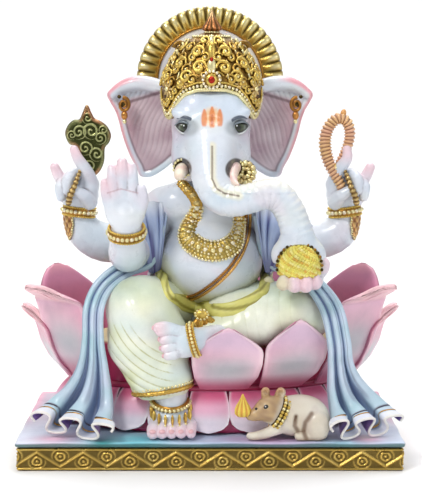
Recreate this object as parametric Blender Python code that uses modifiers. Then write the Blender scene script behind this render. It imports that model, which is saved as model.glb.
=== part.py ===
"""A seated Ganesha idol in painted white marble: a four-armed figure on a lotus seat and a gilded plinth.

The idol is made the way a large marble idol is: pieces carved on their own, then pinned with steel
dowels and cemented. X runs to the figure's left, -Y to its front, +Z up, and the origin is in the
middle of the plinth's underside. Sizes below are in millimetres.
"""

import math

import bmesh
import bpy
from mathutils import Matrix, Vector
from mathutils.bvhtree import BVHTree

MM = 0.001

# Plinth
PLINTH_W, PLINTH_D = 370.0, 230.0
FRIEZE_H, FRIEZE_T = 22.0, 8.0
SLAB_TOP = 28.0

# Lotus seat: circles squashed along Y
LOTUS_Y, LOTUS_SQUASH = 6.0, 0.58
WAIST_Z, SEAT_Z = 72.0, 112.0
PETAL_T, PETAL_CUP = 4.5, 5.0
PETAL_RISE, PETAL_RISE_BACK = 85.0, 20.0
PETAL_RADII = (145.0, 164.0, 174.0, 178.0, 180.0, 183.0)

# Each upturned petal: its place round the seat and half its width, in degrees. The hanging leg fills
# the gap that they leave.
PETALS = (
    (5.5, 11.2), (28.5, 11.2), (55, 13.6), (84, 13.6), (119, 19), (153.5, 13.5), (180, 11), (206.5, 13.5),
    (241, 19), (276, 13.6), (304, 13.6),
)

# Joints between the carved pieces. A piece is cut back from its neighbour by the first growth, in
# millimetres, and solver that leave it whole and clear. It never loses more than MOST_TAKEN times the
# neighbour's volume.
NECK_Z = 262.0
DOWEL_R = 4.0
GAP = 0.65
GROWTHS = (0.6, 0.9, 1.3)
SOLVERS = (("EXACT", False), ("EXACT", True), ("MANIFOLD", False))
MOST_TAKEN = 2.2
WELD = 0.00002

# Halo
HALO_Y, HALO_Z, HALO_R, HALO_INNER_R, HALO_T = 46.0, 367.0, 75.5, 55.0, 8.0

COLOURS = {
    "marble": ((0.80, 0.81, 0.80), 0.30, 0.0),
    "gold": ((0.72, 0.52, 0.16), 0.32, 0.9),
    "petal_pink": ((0.84, 0.50, 0.60), 0.40, 0.0),
    "dhoti_cream": ((0.82, 0.83, 0.62), 0.40, 0.0),
    "shawl_blue": ((0.62, 0.70, 0.84), 0.40, 0.0),
    "slab_paint": ((0.66, 0.80, 0.86), 0.40, 0.0),
    "sweet_yellow": ((0.84, 0.76, 0.30), 0.55, 0.0),
    "steel": ((0.55, 0.56, 0.58), 0.30, 1.0),
}

placed = []
placed_trees = {}


def clear_scene():
    for obj in list(bpy.data.objects):
        bpy.data.objects.remove(obj)


def material(name):
    found = bpy.data.materials.get(name)
    if found:
        return found
    made = bpy.data.materials.new(name)
    made.use_nodes = True
    colour, roughness, metallic = COLOURS[name]
    shader = made.node_tree.nodes["Principled BSDF"]
    shader.inputs["Base Color"].default_value = (*colour, 1.0)
    shader.inputs["Roughness"].default_value = roughness
    shader.inputs["Metallic"].default_value = metallic
    made.diffuse_color = (*colour, 1.0)
    return made


def add_object(name, data):
    obj = bpy.data.objects.new(name, data)
    idol.objects.link(obj)
    return obj


def applied(obj, weld=0.0):
    """The object with its modifiers, or its curve's bevel, made into a plain mesh.

    weld joins points that close, in metres, as where a curve's caps meet its sides.
    """
    graph = bpy.context.evaluated_depsgraph_get()
    mesh = bpy.data.meshes.new_from_object(obj.evaluated_get(graph))
    name = obj.name
    matrix = obj.matrix_world.copy()
    bpy.data.objects.remove(obj)
    if weld:
        bm = bmesh.new()
        bm.from_mesh(mesh)
        bmesh.ops.remove_doubles(bm, verts=bm.verts, dist=weld)
        bm.to_mesh(mesh)
        bm.free()
    made = add_object(name, mesh)
    made.matrix_world = matrix
    bpy.context.view_layer.update()
    return made


def keep_largest(obj):
    """Removes the scraps that a cut leaves beside the piece."""
    bm = bmesh.new()
    bm.from_mesh(obj.data)
    left = set(bm.verts)
    islands = []
    while left:
        island = {left.pop()}
        front = list(island)
        while front:
            for edge in front.pop().link_edges:
                for vert in edge.verts:
                    if vert in left:
                        left.discard(vert)
                        island.add(vert)
                        front.append(vert)
        islands.append(island)
    islands.sort(key=len)
    for scrap in islands[:-1]:
        bmesh.ops.delete(bm, geom=list(scrap), context="VERTS")
    bm.to_mesh(obj.data)
    bm.free()


def box_of(obj):
    points = [obj.matrix_world @ vert.co for vert in obj.data.vertices]
    low = Vector(min(p[i] for p in points) for i in range(3))
    high = Vector(max(p[i] for p in points) for i in range(3))
    return low, high


def boxes_meet(a, b):
    (low_a, high_a), (low_b, high_b) = box_of(a), box_of(b)
    slack = 2 * GROWTHS[-1] * MM
    return all(low_a[i] < high_b[i] + slack and low_b[i] < high_a[i] + slack for i in range(3))


def cut(obj, cutter, solver="EXACT", folded=False):
    """The object with the cutter's shape taken out of it."""
    boolean = obj.modifiers.new("cut", "BOOLEAN")
    boolean.operation = "DIFFERENCE"
    boolean.solver = solver
    boolean.use_self = folded
    boolean.object = cutter
    bpy.context.view_layer.update()
    return applied(obj)


def swollen(obj, growth):
    """A cutter: the object grown by so many millimetres, so that its neighbour clears it."""
    cutter = bpy.data.objects.new("cutter_" + obj.name, obj.data)
    cutters.objects.link(cutter)
    cutter.matrix_world = obj.matrix_world
    cutter.hide_render = True
    cutter.display_type = "WIRE"
    grow = cutter.modifiers.new("grow", "DISPLACE")
    grow.mid_level = 0.0
    grow.strength = growth * MM
    return cutter


def volume_of(mesh):
    bm = bmesh.new()
    bm.from_mesh(mesh)
    volume = bm.calc_volume(signed=True)
    bm.free()
    return volume


def is_whole_and_clear(obj, other, least):
    """True for one closed body of at least that volume, which no face of the other passes through."""
    bm = bmesh.new()
    bm.from_mesh(obj.data)
    whole = bool(bm.faces) and all(len(edge.link_faces) == 2 for edge in bm.edges)
    whole = whole and bm.calc_volume(signed=True) > least
    clear = whole and not BVHTree.FromBMesh(bm).overlap(placed_trees[other.name])
    bm.free()
    return clear


def seated(obj, other):
    """The piece cut back round another, by the least growth and the plainest solver that work."""
    name = obj.name
    untouched = obj.data
    least = max(0.0, volume_of(untouched) - MOST_TAKEN * volume_of(other.data))
    bpy.data.objects.remove(obj)
    for growth in GROWTHS:
        cutter = swollen(other, growth)
        for solver, folded in SOLVERS:
            trial = cut(add_object(name, untouched), cutter, solver, folded)
            keep_largest(trial)
            if is_whole_and_clear(trial, other, least):
                bpy.data.objects.remove(cutter)
                return trial
            bpy.data.objects.remove(trial)
        bpy.data.objects.remove(cutter)
    raise ValueError(f"{name} can't be seated round {other.name}")


def settle(obj, finish):
    """Gives the piece its material, and seats it round every earlier piece with the joint gap."""
    for other in placed:
        if boxes_meet(obj, other):
            obj = seated(obj, other)
    obj.data.materials.clear()
    obj.data.materials.append(material(finish))
    obj.data.shade_smooth()
    obj.data.set_sharp_from_angle(angle=math.radians(40))
    bm = bmesh.new()
    bm.from_mesh(obj.data)
    placed_trees[obj.name] = BVHTree.FromBMesh(bm)
    bm.free()
    placed.append(obj)
    return obj


def block(name, low, high, bevel=0.0):
    """A box between two corners, with rounded edges."""
    bm = bmesh.new()
    low, high = Vector(low) * MM, Vector(high) * MM
    size = high - low
    matrix = Matrix.Translation((low + high) / 2) @ Matrix.Diagonal((*size, 1.0))
    bmesh.ops.create_cube(bm, size=1.0, matrix=matrix)
    mesh = bpy.data.meshes.new(name)
    bm.to_mesh(mesh)
    bm.free()
    obj = add_object(name, mesh)
    if bevel:
        rounding = obj.modifiers.new("rounding", "BEVEL")
        rounding.width = bevel * MM
        rounding.segments = 2
        bpy.context.view_layer.update()
        obj = applied(obj)
    return obj


def add_ball(bm, centre, radii, turn=0.0):
    radii = (radii,) * 3 if isinstance(radii, (int, float)) else radii
    matrix = Matrix.Translation(Vector(centre) * MM)
    matrix = matrix @ Matrix.Rotation(math.radians(turn), 4, "Y")
    matrix = matrix @ Matrix.Diagonal((*(r * MM for r in radii), 1.0))
    bmesh.ops.create_icosphere(bm, subdivisions=2, radius=1.0, matrix=matrix)


def add_limb(bm, stations):
    """Balls strung closely along a path of (x, y, z, radius) stations."""
    for a, b in zip(stations, stations[1:]):
        length = (Vector(b[:3]) - Vector(a[:3])).length
        count = max(2, math.ceil(length / (0.45 * min(a[3], b[3]))))
        for i in range(count + 1):
            x, y, z, radius = (p + (q - p) * i / count for p, q in zip(a, b))
            add_ball(bm, (x, y, z), radius)


def fused(name, balls=(), limbs=(), voxel=4.0, triangles=300, floor=None):
    """Balls and limbs melted into one soft form, as a carver rounds a figure, then thinned out.

    With floor, the form is cut off flat at that height, where it rests on its neighbour.
    """
    bm = bmesh.new()
    for ball in balls:
        add_ball(bm, *ball)
    for limb in limbs:
        add_limb(bm, limb)
    mesh = bpy.data.meshes.new(name)
    bm.to_mesh(mesh)
    bm.free()
    obj = add_object(name, mesh)
    melt = obj.modifiers.new("melt", "REMESH")
    melt.mode = "VOXEL"
    melt.voxel_size = voxel * MM
    soften = obj.modifiers.new("soften", "SMOOTH")
    soften.iterations = 3
    bpy.context.view_layer.update()
    obj = applied(obj)
    keep_largest(obj)
    thin = obj.modifiers.new("thin", "DECIMATE")
    thin.ratio = min(1.0, triangles / (2 * len(obj.data.polygons)))
    bpy.context.view_layer.update()
    obj = applied(obj)
    if floor is not None:
        low, high = box_of(obj)
        under = block("under", (low.x / MM - 9, low.y / MM - 9, low.z / MM - 9),
                      (high.x / MM + 9, high.y / MM + 9, floor))
        obj = cut(obj, under)
        bpy.data.objects.remove(under)
        keep_largest(obj)
    return obj


def turned(name, profile, centre=(0, 0, 0), squash=1.0, steps=32, tilt=0.0):
    """A profile of (radius, height) from the top down, turned about Z."""
    bm = bmesh.new()
    verts = [bm.verts.new((r * MM, 0, z * MM)) for r, z in profile]
    for a, b in zip(verts, verts[1:]):
        bm.edges.new((a, b))
    if profile[0][0] and profile[-1][0]:
        bm.edges.new((verts[-1], verts[0]))
    mesh = bpy.data.meshes.new(name)
    bm.to_mesh(mesh)
    bm.free()
    obj = add_object(name, mesh)
    screw = obj.modifiers.new("turn", "SCREW")
    screw.steps = steps
    screw.render_steps = steps
    screw.use_merge_vertices = True
    screw.merge_threshold = 0.0001
    bpy.context.view_layer.update()
    obj = applied(obj)
    place = Matrix.Translation(Vector(centre) * MM) @ Matrix.Rotation(math.radians(tilt), 4, "X")
    obj.data.transform(place @ Matrix.Diagonal((1.0, squash, 1.0, 1.0)))
    return obj


def tube(name, stations, closed=False, flat=1.0):
    """A round bar along a smooth path of (x, y, z, radius) stations. flat squashes it along Y."""
    curve = bpy.data.curves.new(name, "CURVE")
    curve.dimensions = "3D"
    curve.bevel_depth = MM
    curve.bevel_resolution = 2
    curve.resolution_u = 2
    curve.use_fill_caps = True
    spline = curve.splines.new("NURBS")
    spline.points.add(len(stations) - 1)
    for point, (x, y, z, radius) in zip(spline.points, stations):
        point.co = (x * MM, y * MM / flat, z * MM, 1.0)
        point.radius = radius
    spline.order_u = 4
    spline.use_endpoint_u = not closed
    spline.use_cyclic_u = closed
    obj = add_object(name, curve)
    bpy.context.view_layer.update()
    obj = applied(obj, WELD)
    obj.data.transform(Matrix.Diagonal((1.0, flat, 1.0, 1.0)))
    return obj


def plate(name, outline, thickness, y, bevel=0.0):
    """A flat outline of (x, z) points with the given thickness, upright and centred on the plane y."""
    curve = bpy.data.curves.new(name, "CURVE")
    curve.dimensions = "2D"
    curve.fill_mode = "BOTH"
    curve.extrude = (thickness / 2 - bevel) * MM
    curve.bevel_depth = bevel * MM
    curve.bevel_resolution = 1
    spline = curve.splines.new("POLY")
    spline.points.add(len(outline) - 1)
    for point, (x, z) in zip(spline.points, outline):
        point.co = (x * MM, z * MM, 0.0, 1.0)
    spline.use_cyclic_u = True
    obj = add_object(name, curve)
    bpy.context.view_layer.update()
    obj = applied(obj, WELD)
    upright = Matrix.Translation((0, y * MM, 0)) @ Matrix.Rotation(math.radians(90), 4, "X")
    obj.data.transform(upright)
    return obj


def sheet(name, surface, columns, rows, thickness):
    """A grid bent to surface(u, v), with u from -1 to 1 and v from 0 to 1, thickened by Solidify."""
    bm = bmesh.new()
    bmesh.ops.create_grid(bm, x_segments=columns, y_segments=rows, size=1.0)
    for vert in bm.verts:
        vert.co = Vector(surface(vert.co.x, (vert.co.y + 1) / 2)) * MM
    bmesh.ops.remove_doubles(bm, verts=bm.verts, dist=0.0001)
    mesh = bpy.data.meshes.new(name)
    bm.to_mesh(mesh)
    bm.free()
    obj = add_object(name, mesh)
    thicken = obj.modifiers.new("thicken", "SOLIDIFY")
    thicken.thickness = thickness * MM
    thicken.offset = 0.0
    bpy.context.view_layer.update()
    obj = applied(obj)
    bm = bmesh.new()
    bm.from_mesh(obj.data)
    bmesh.ops.recalc_face_normals(bm, faces=bm.faces)
    bm.to_mesh(obj.data)
    bm.free()
    return obj


def along(values, t):
    """The value at share t of a list of evenly spaced values or points."""
    at = min(max(t, 0.0), 1.0) * (len(values) - 1)
    i = min(int(at), len(values) - 2)
    a, b = values[i], values[i + 1]
    if isinstance(a, tuple):
        return tuple(p + (q - p) * (at - i) for p, q in zip(a, b))
    return a + (b - a) * (at - i)


def make_dowels():
    """Steel pins across the joints that carry a piece: seat to torso, torso to head, head to crown."""
    joints = (
        ("dowel_lotus_to_slab", 0, 10, 8, 55),
        ("dowel_torso_to_lotus", 0, 8, 92, 136),
        ("dowel_head_to_torso", 0, 4, 242, 284),
        ("dowel_crown_to_head", 0, -6, 340, 384),
    )
    for name, x, y, low, high in joints:
        profile = ((0, high), (DOWEL_R, high), (DOWEL_R, low), (0, low))
        settle(turned(name, profile, centre=(x, y, 0), steps=12), "steel")


def make_necklace():
    garland = (
        (-27, -32, 267, 6), (-21, -36, 260, 8), (-14, -42, 251, 8), (-13, -46, 241, 8),
        (-19, -48, 226, 8.5), (-21, -56, 212, 9.5), (-9, -66, 202, 11), (6, -67, 199, 11),
        (22, -60, 206, 10), (28, -48, 222, 8.5), (28, -46, 238, 8), (30, -42, 251, 8),
        (31, -34, 262, 6),
    )
    settle(tube("necklace", garland, flat=0.6), "gold")


def make_body_jewellery():
    thread = (
        (38, -38, 242, 3.5), (42, -38, 216, 4), (32, -53, 190, 4),
        (14, -61, 170, 4), (-4, -55, 157, 4), (-24, -43, 152, 3.5),
    )
    settle(tube("sacred_thread", thread), "gold")
    belt = (
        (-50, -34, 178, 4), (-38, -44, 160, 5), (-22, -50, 148, 6), (-2, -60, 144, 6),
        (22, -72, 147, 6), (48, -72, 157, 5), (68, -56, 167, 4),
    )
    settle(tube("waist_belt", belt), "dhoti_cream")
    tassels = (
        (-4, 146), (2, 148), (14, 132), (15, 126), (8, 127), (5, 122), (1, 124), (-3, 138),
    )
    settle(plate("belt_tassels", tassels, 6, -88, bevel=1.5), "gold")


def make_head_jewellery():
    for side, name in ((-1, "right"), (1, "left")):
        drop = ((0, 351), (4, 349), (6.5, 342), (5, 334), (7, 326), (4, 319), (0, 317))
        settle(turned("earring_" + name, drop, centre=(side * 84, -8, 0), steps=12), "gold")


def make_tusks():
    short = ((-27, -52, 284, 6.5), (-28, -63, 282, 6), (-29, -72, 279, 5))
    whole = ((20, -52, 284, 6.5), (21, -64, 280, 6), (25, -76, 276, 4.5), (29, -83, 274, 2.5))
    settle(fused("tusk_right", limbs=[short], voxel=2.0, triangles=120), "marble")
    settle(fused("tusk_left", limbs=[whole], voxel=2.0, triangles=140), "marble")


def make_attributes():
    """What the hands hold: axe, noose and a heap of sweets."""
    blade = (
        (-118, 272), (-108, 284), (-104, 304), (-98, 312), (-103, 322), (-110, 328), (-117, 330),
        (-123, 341), (-130, 328), (-144, 321), (-145, 312), (-139, 302), (-134, 304),
        (-130, 288), (-140, 262), (-142, 248), (-136, 247), (-130, 264),
    )
    settle(plate("axe", blade, 9, 4, bevel=2.0), "gold")
    loop = (
        (124, -6, 270, 4.5), (118, -5, 284, 5), (114.5, -4, 299, 5.4), (115, -4, 314, 5.4),
        (122, -4, 327, 5.2), (132, -4, 329, 5.2), (139, -4, 320, 5), (138, -4, 306, 4.8),
        (134, -4, 294, 4), (132, -4, 284, 3),
    )
    settle(tube("noose", loop), "gold")
    heap = ((0, 222), (8, 219), (16, 208), (20, 196), (20, 188), (14, 184), (0, 184))
    settle(turned("laddoo_heap", heap, centre=(84, -90, 0), steps=20), "sweet_yellow")


def make_bracelets():
    rings = (
        ("bracelet_right_front", (-79, -64, 217), 17.5, 4.0, 30),
        ("bracelet_left_front", (85, -80, 190), 22.5, 3.0, 25),
        ("bracelet_right_back", (-135, 12, 234), 18.5, 4.0, 0),
        ("bracelet_left_back", (137, 12, 234), 18.5, 4.0, 0),
    )
    for name, centre, radius, thick, tilt in rings:
        ring = [
            (radius + thick * math.cos(a), thick * math.sin(a))
            for a in (math.radians(-60 * i) for i in range(6))
        ]
        settle(turned(name, ring, centre=centre, steps=18, tilt=tilt), "gold")


def make_arms():
    """Each arm is carved in one with its hand."""
    settle(fused(
        "arm_right_front",
        balls=[((-81, -80, 252), (19, 9, 25), 0)],
        limbs=[
            [(-56, -4, 240, 18), (-78, -30, 197, 20), (-79, -50, 204, 18), (-79, -66, 220, 16),
             (-80, -76, 238, 13)],
            [(-97, -80, 258, 4.5), (-100, -80, 272, 4)],
            [(-91, -80, 265, 5.5), (-93, -81, 287, 4.5)],
            [(-83, -80, 268, 5.5), (-84, -81, 293, 4.5)],
            [(-75, -80, 265, 5.5), (-74, -81, 289, 4.5)],
            [(-66, -80, 250, 6), (-65, -83, 268, 5)],
        ],
        voxel=3.0, triangles=420), "marble")
    settle(fused(
        "arm_left_front",
        balls=[((90, -84, 180), (20, 18, 10), 0)],
        limbs=[
            [(56, -4, 240, 18), (84, -20, 205, 19), (88, -50, 196, 17), (86, -68, 188, 14)],
            [(104, -84, 186, 6), (108, -90, 196, 5)],
            [(74, -100, 180, 5.5), (76, -106, 184, 5)],
            [(84, -102, 178, 5.5), (86, -109, 183, 5)],
            [(94, -101, 178, 5.5), (96, -107, 184, 5)],
        ],
        voxel=3.0, triangles=360), "marble")
    settle(fused(
        "arm_right_back",
        balls=[((-132, 8, 262), (19, 14, 21), 0)],
        limbs=[
            [(-48, 22, 228, 20), (-100, 20, 211, 20), (-135, 14, 216, 18), (-135, 12, 236, 15),
             (-133, 9, 250, 15)],
            [(-120, 4, 272, 8), (-128, -6, 284, 7), (-134, -8, 299, 5.5)],
            [(-146, 4, 270, 7), (-152, -2, 281, 6)],
        ],
        voxel=3.0, triangles=360), "marble")
    settle(fused(
        "arm_left_back",
        balls=[((139, 8, 260), (19, 14, 20), 0)],
        limbs=[
            [(48, 22, 228, 20), (100, 20, 214, 20), (139, 14, 217, 18), (137, 12, 236, 15),
             (138, 9, 250, 15)],
            [(128, 0, 270, 8), (135, -8, 282, 7), (141, -8, 297, 5.5)],
            [(150, 4, 268, 7), (158, -2, 280, 5.5)],
        ],
        voxel=3.0, triangles=360), "marble")


def make_feet():
    settle(turned(
        "anklet_right",
        [(23 + 4 * math.cos(a), 6 * math.sin(a)) for a in (math.radians(-60 * i) for i in range(6))],
        centre=(-38, -82, 62), squash=0.8, steps=18, tilt=-12), "gold")
    ring = turned(
        "anklet_left",
        [(15 + 3 * math.cos(a), 4 * math.sin(a)) for a in (math.radians(-60 * i) for i in range(6))],
        steps=16)
    ring.data.transform(
        Matrix.Translation(Vector((-14, -97, 122)) * MM)
        @ Matrix.Rotation(math.radians(70), 4, "Y")
    )
    settle(ring, "gold")
    toes = [
        [(-36 + 9.5 * i, -88, 40, 8), (-37 + 10 * i, -101 + abs(i) * 1.5, 35, 6)]
        for i in (-1.6, -0.6, 0.3, 1.1, 1.8)
    ]
    settle(fused(
        "foot_right", balls=[((-37, -82, 46), (21, 15, 15), 0)],
        limbs=[[(-38, -76, 70, 17), (-38, -80, 50, 17)], *toes],
        voxel=2.6, triangles=300, floor=SLAB_TOP + GAP), "marble")
    toes = [
        [(-38, -101, 112 + 8 * i, 7), (-48 + 2.2 * abs(i - 1), -106, 110 + 7.4 * i, 5)]
        for i in (-0.4, 0.6, 1.5, 2.4)
    ]
    settle(fused(
        "foot_left", balls=[((-28, -98, 121), (18, 9, 17), 0)],
        limbs=[[(12, -84, 126, 13), (-14, -95, 124, 12), (-26, -98, 122, 12)], *toes],
        voxel=2.6, triangles=280), "marble")


def make_mouse():
    settle(turned(
        "mouse_sweet", ((0, 73), (3, 68), (7.5, 60), (7, 54), (0, 51)),
        centre=(31, -107, 0), steps=12), "sweet_yellow")
    ring = turned(
        "mouse_collar",
        [(14.5 + 2.5 * math.cos(a), 3 * math.sin(a)) for a in (math.radians(-60 * i) for i in range(6))],
        steps=18)
    ring.data.transform(
        Matrix.Translation(Vector((64, -97.5, 54)) * MM)
        @ Matrix.Rotation(math.radians(-50), 4, "Y")
    )
    settle(ring, "gold")
    settle(fused(
        "mouse_body",
        balls=[
            ((88, -95, 50), (27, 17, 20), 0), ((103, -100, 40), (12, 14, 12), 0),
            ((57, -102, 58), (14, 12, 13), 30), ((64, -92, 74), (5, 3, 6), 0),
            ((49, -92, 74), (5, 3, 6), 0),
        ],
        limbs=[
            [(57, -103, 57, 12), (42, -106, 53, 6.5)], [(57, -101, 56, 12), (76, -97, 48, 16)],
            [(66, -104, 38, 7), (46, -107, 33, 5)], [(106, -100, 34, 6), (86, -106, 33, 5)],
            [(96, -86, 33, 5), (60, -84, 33, 4)],
        ],
        voxel=3.0, triangles=420, floor=SLAB_TOP + GAP), "marble")


def make_trunk_and_ears():
    trunk = [
        (1, -56, 304, 25), (0, -66, 284, 22), (3, -78, 266, 18), (13, -86, 256, 15),
        (33, -89, 251, 13.5), (53, -88, 257, 13.5), (66, -87, 253, 14), (75, -88, 242, 14),
        (80, -90, 231, 13.5),
    ]
    settle(fused("trunk", limbs=[trunk], voxel=4.0, triangles=320), "marble")
    outline = [
        (42, 362), (58, 370), (80, 369), (93, 362), (99, 353), (93, 334), (86, 314), (78, 297),
        (70, 281), (64, 274), (54, 276), (40, 284), (30, 296), (30, 340),
    ]
    for side, name in ((-1, "right"), (1, "left")):
        points = [(side * x, z) for x, z in outline]
        ear = plate("ear_" + name, points, 13, 4, bevel=3.5)
        swing = Matrix.Translation(Vector((side * 30, 4, 0)) * MM)
        back = Matrix.Rotation(math.radians(side * 8), 4, "Z")
        ear.data.transform(swing @ back @ swing.inverted())
        settle(ear, "marble")


def make_crown_and_halo():
    finial = ((0, 436), (4, 429), (9, 421), (11, 417), (8, 414.4), (0, 414.4))
    settle(turned("crown_finial", finial, centre=(2, -6, 0), steps=16), "gold")
    dome = (
        (0, 414), (12, 413), (24, 407), (33, 399), (35, 388), (43, 378), (46, 368), (50, 360),
        (50, 352), (46, 348), (0, 348),
    )
    settle(turned("crown_dome", dome, centre=(1, -6, 0), squash=0.88, steps=24), "gold")
    band = [
        (46 + 5 * math.cos(a), 11 * math.sin(a)) for a in (math.radians(-60 * i) for i in range(6))
    ]
    settle(turned("crown_band", band, centre=(1, -6, 341), squash=0.92, steps=24, tilt=-22), "gold")
    disc = ((0, 0), (HALO_INNER_R, 0), (HALO_INNER_R, -HALO_T), (0, -HALO_T))
    rays = (
        (HALO_INNER_R + GAP, 3), (HALO_R - 6, 3), (HALO_R, 0), (HALO_R, -HALO_T),
        (HALO_INNER_R + GAP, -HALO_T),
    )
    upright = (
        Matrix.Translation(Vector((0, HALO_Y, HALO_Z)) * MM) @ Matrix.Rotation(math.radians(90), 4, "X")
    )
    for name, profile, finish in (("halo_disc", disc, "marble"), ("halo_ray_ring", rays, "gold")):
        part = turned(name, profile, steps=40)
        part.data.transform(upright)
        settle(part, finish)


def make_head():
    """The head, with the stub of stone behind it that the halo is cemented to."""
    settle(fused(
        "head",
        balls=[
            ((1, -14, 322), (45, 42, 46), 0), ((-29, -30, 292), (20, 22, 24), 0),
            ((31, -30, 292), (20, 22, 24), 0), ((1, -26, 284), (34, 26, 22), 0),
            ((1, 12, 300), (34, 30, 38), 0),
        ],
        limbs=[[(0, 14, 322, 20), (0, 33, 330, 15)]],
        voxel=5.0, triangles=420, floor=NECK_Z + GAP), "marble")


def make_legs():
    settle(fused(
        "dhoti_right_leg",
        balls=[
            ((-68, -62, 148), (33, 38, 28), 0), ((-58, -72, 116), (39, 28, 38), 0),
            ((-49, -78, 84), (33, 22, 30), 0),
        ],
        limbs=[[(-38, -10, 146, 28), (-66, -52, 148, 28)]],
        voxel=5.0, triangles=340, floor=64), "dhoti_cream")
    settle(fused(
        "dhoti_left_leg",
        balls=[((54, -44, 140), (62, 40, 28), 0), ((92, -46, 140), (28, 38, 28), 0)],
        limbs=[[(30, -10, 142, 27), (80, -40, 142, 27)], [(-2, -66, 126, 13), (40, -66, 130, 18)]],
        voxel=5.0, triangles=300, floor=SEAT_Z + GAP), "dhoti_cream")


def make_torso():
    settle(fused(
        "torso",
        balls=[
            ((0, -16, 186), (51, 49, 46), 0), ((0, -4, 232), (47, 38, 34), 0),
            ((-22, -18, 238), (24, 24, 22), 0), ((22, -18, 238), (24, 24, 22), 0),
            ((-42, 2, 244), (19, 20, 18), 0), ((42, 2, 244), (19, 20, 18), 0),
            ((0, 8, 142), (62, 42, 38), 0), ((0, 0, 258), (30, 28, 14), 0),
        ],
        voxel=5.0, triangles=460, floor=SEAT_Z + GAP), "marble")


def drape_surface(line, widths):
    """One end of the shawl, down through the points of the line, with a half width at each."""
    def surface(u, v):
        x, y, z = along(line, v)
        ripple = 3.0 * math.cos(u * math.pi * 1.5) * v
        return x + along(widths, v) * u, y + ripple, z

    return surface


def make_shawl():
    """Each end hangs from the crook of an arm, over the lotus rim and down to the slab."""
    right = (
        (-66, 34, 192), (-88, 12, 184), (-104, -28, 180), (-110, -64, 168), (-112, -84, 146),
        (-112, -88, 116), (-113, -89, 90), (-121, -92, 60), (-133, -97, 29.5),
    )
    left = (
        (66, 34, 192), (86, 12, 184), (99, -28, 178), (106, -64, 168), (119, -82, 146),
        (123, -88, 118), (125, -89, 92), (132, -92, 60), (149, -97, 29.5),
    )
    right_widths = (14, 14, 13, 12, 11, 12, 17, 28, 40)
    left_widths = (14, 14, 12, 11, 12, 12, 14, 22, 34)
    settle(sheet("shawl_drape_right", drape_surface(right, right_widths), 6, 10, 9), "shawl_blue")
    settle(sheet("shawl_drape_left", drape_surface(left, left_widths), 6, 10, 9), "shawl_blue")

    def back(u, v):
        angle = math.radians(100 * u)
        return 63 * math.sin(angle), 2 + 46 * math.cos(angle), 178 + 62 * v

    settle(sheet("shawl_back", back, 10, 4, 6), "shawl_blue")


def petal_surface(angle, half):
    """One upturned petal, centred on that angle from the front, in degrees, and half as wide as half says."""
    rise = PETAL_RISE - PETAL_RISE_BACK * math.cos(math.radians(angle))
    half_widths = (0.86, 0.97, 1.0, 0.98, 0.64, 0.10)

    def surface(u, v):
        turn = math.radians(angle + half * along(half_widths, v) * u)
        radius = along(PETAL_RADII, v) - PETAL_CUP * (1 - u * u) * math.sin(math.pi * v)
        x = radius * math.sin(turn)
        y = LOTUS_Y - LOTUS_SQUASH * radius * math.cos(turn)
        return x, y, WAIST_Z + 1 + rise * v

    return surface


def make_petals():
    """The upturned petals stand round the seat, apart from where the hanging leg comes down."""
    for number, (angle, half) in enumerate(PETALS, start=1):
        petal = sheet(f"lotus_petal_{number:02d}", petal_surface(angle, half), 4, 5, PETAL_T)
        settle(petal, "petal_pink")


def make_lotus_core():
    """The seat, its waist and the ring of downturned petals below, as one turned block."""
    seat = (
        (0, SEAT_Z), (126, SEAT_Z), (134, 100), (136, 84), (138, WAIST_Z), (143, 60), (152, 44),
        (158, 34), (158, SLAB_TOP + GAP), (0, SLAB_TOP + GAP),
    )
    settle(turned(
        "lotus_core", seat, centre=(0, LOTUS_Y, 0), squash=LOTUS_SQUASH, steps=36), "petal_pink")


def make_plinth():
    half_w, half_d = PLINTH_W / 2, PLINTH_D / 2
    slab = block(
        "base_slab", (-half_w, -half_d, FRIEZE_H + GAP), (half_w, half_d, SLAB_TOP), bevel=1.5)
    settle(slab, "slab_paint")
    inner_w, inner_d = half_w - FRIEZE_T, half_d - FRIEZE_T
    core = block("plinth_core", (-inner_w, -inner_d, 0), (inner_w, inner_d, FRIEZE_H))
    settle(core, "marble")
    frieze = block("gilded_frieze", (-half_w, -half_d, 0), (half_w, half_d, FRIEZE_H), bevel=1.5)
    settle(frieze, "gold")


clear_scene()
idol = bpy.data.collections.new("ganesha_idol")
cutters = bpy.data.collections.new("cutters")
for group in (idol, cutters):
    bpy.context.scene.collection.children.link(group)

# The seat and the small pieces come first and stay whole: each later piece is seated round them.
make_dowels()
make_lotus_core()
make_body_jewellery()
make_necklace()
make_head_jewellery()
make_tusks()
make_attributes()
make_bracelets()
make_feet()
make_mouse()
make_arms()
make_trunk_and_ears()
make_crown_and_halo()
make_head()
make_torso()
make_legs()
make_shawl()
make_petals()
make_plinth()
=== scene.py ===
"""The looks of a painted marble Ganesha idol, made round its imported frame.

Soft carved forms are signed distance fields, meshed here by a surface net. Jewellery, petals and cloth are
swept or bent sheets. Lengths are millimetres in the frame's axes, X to the figure's left, -Y to its front and
Z up, until put() turns them into metres. Every point carries its painted colour, and the materials add the
grain, wear and gloss.
"""

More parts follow.
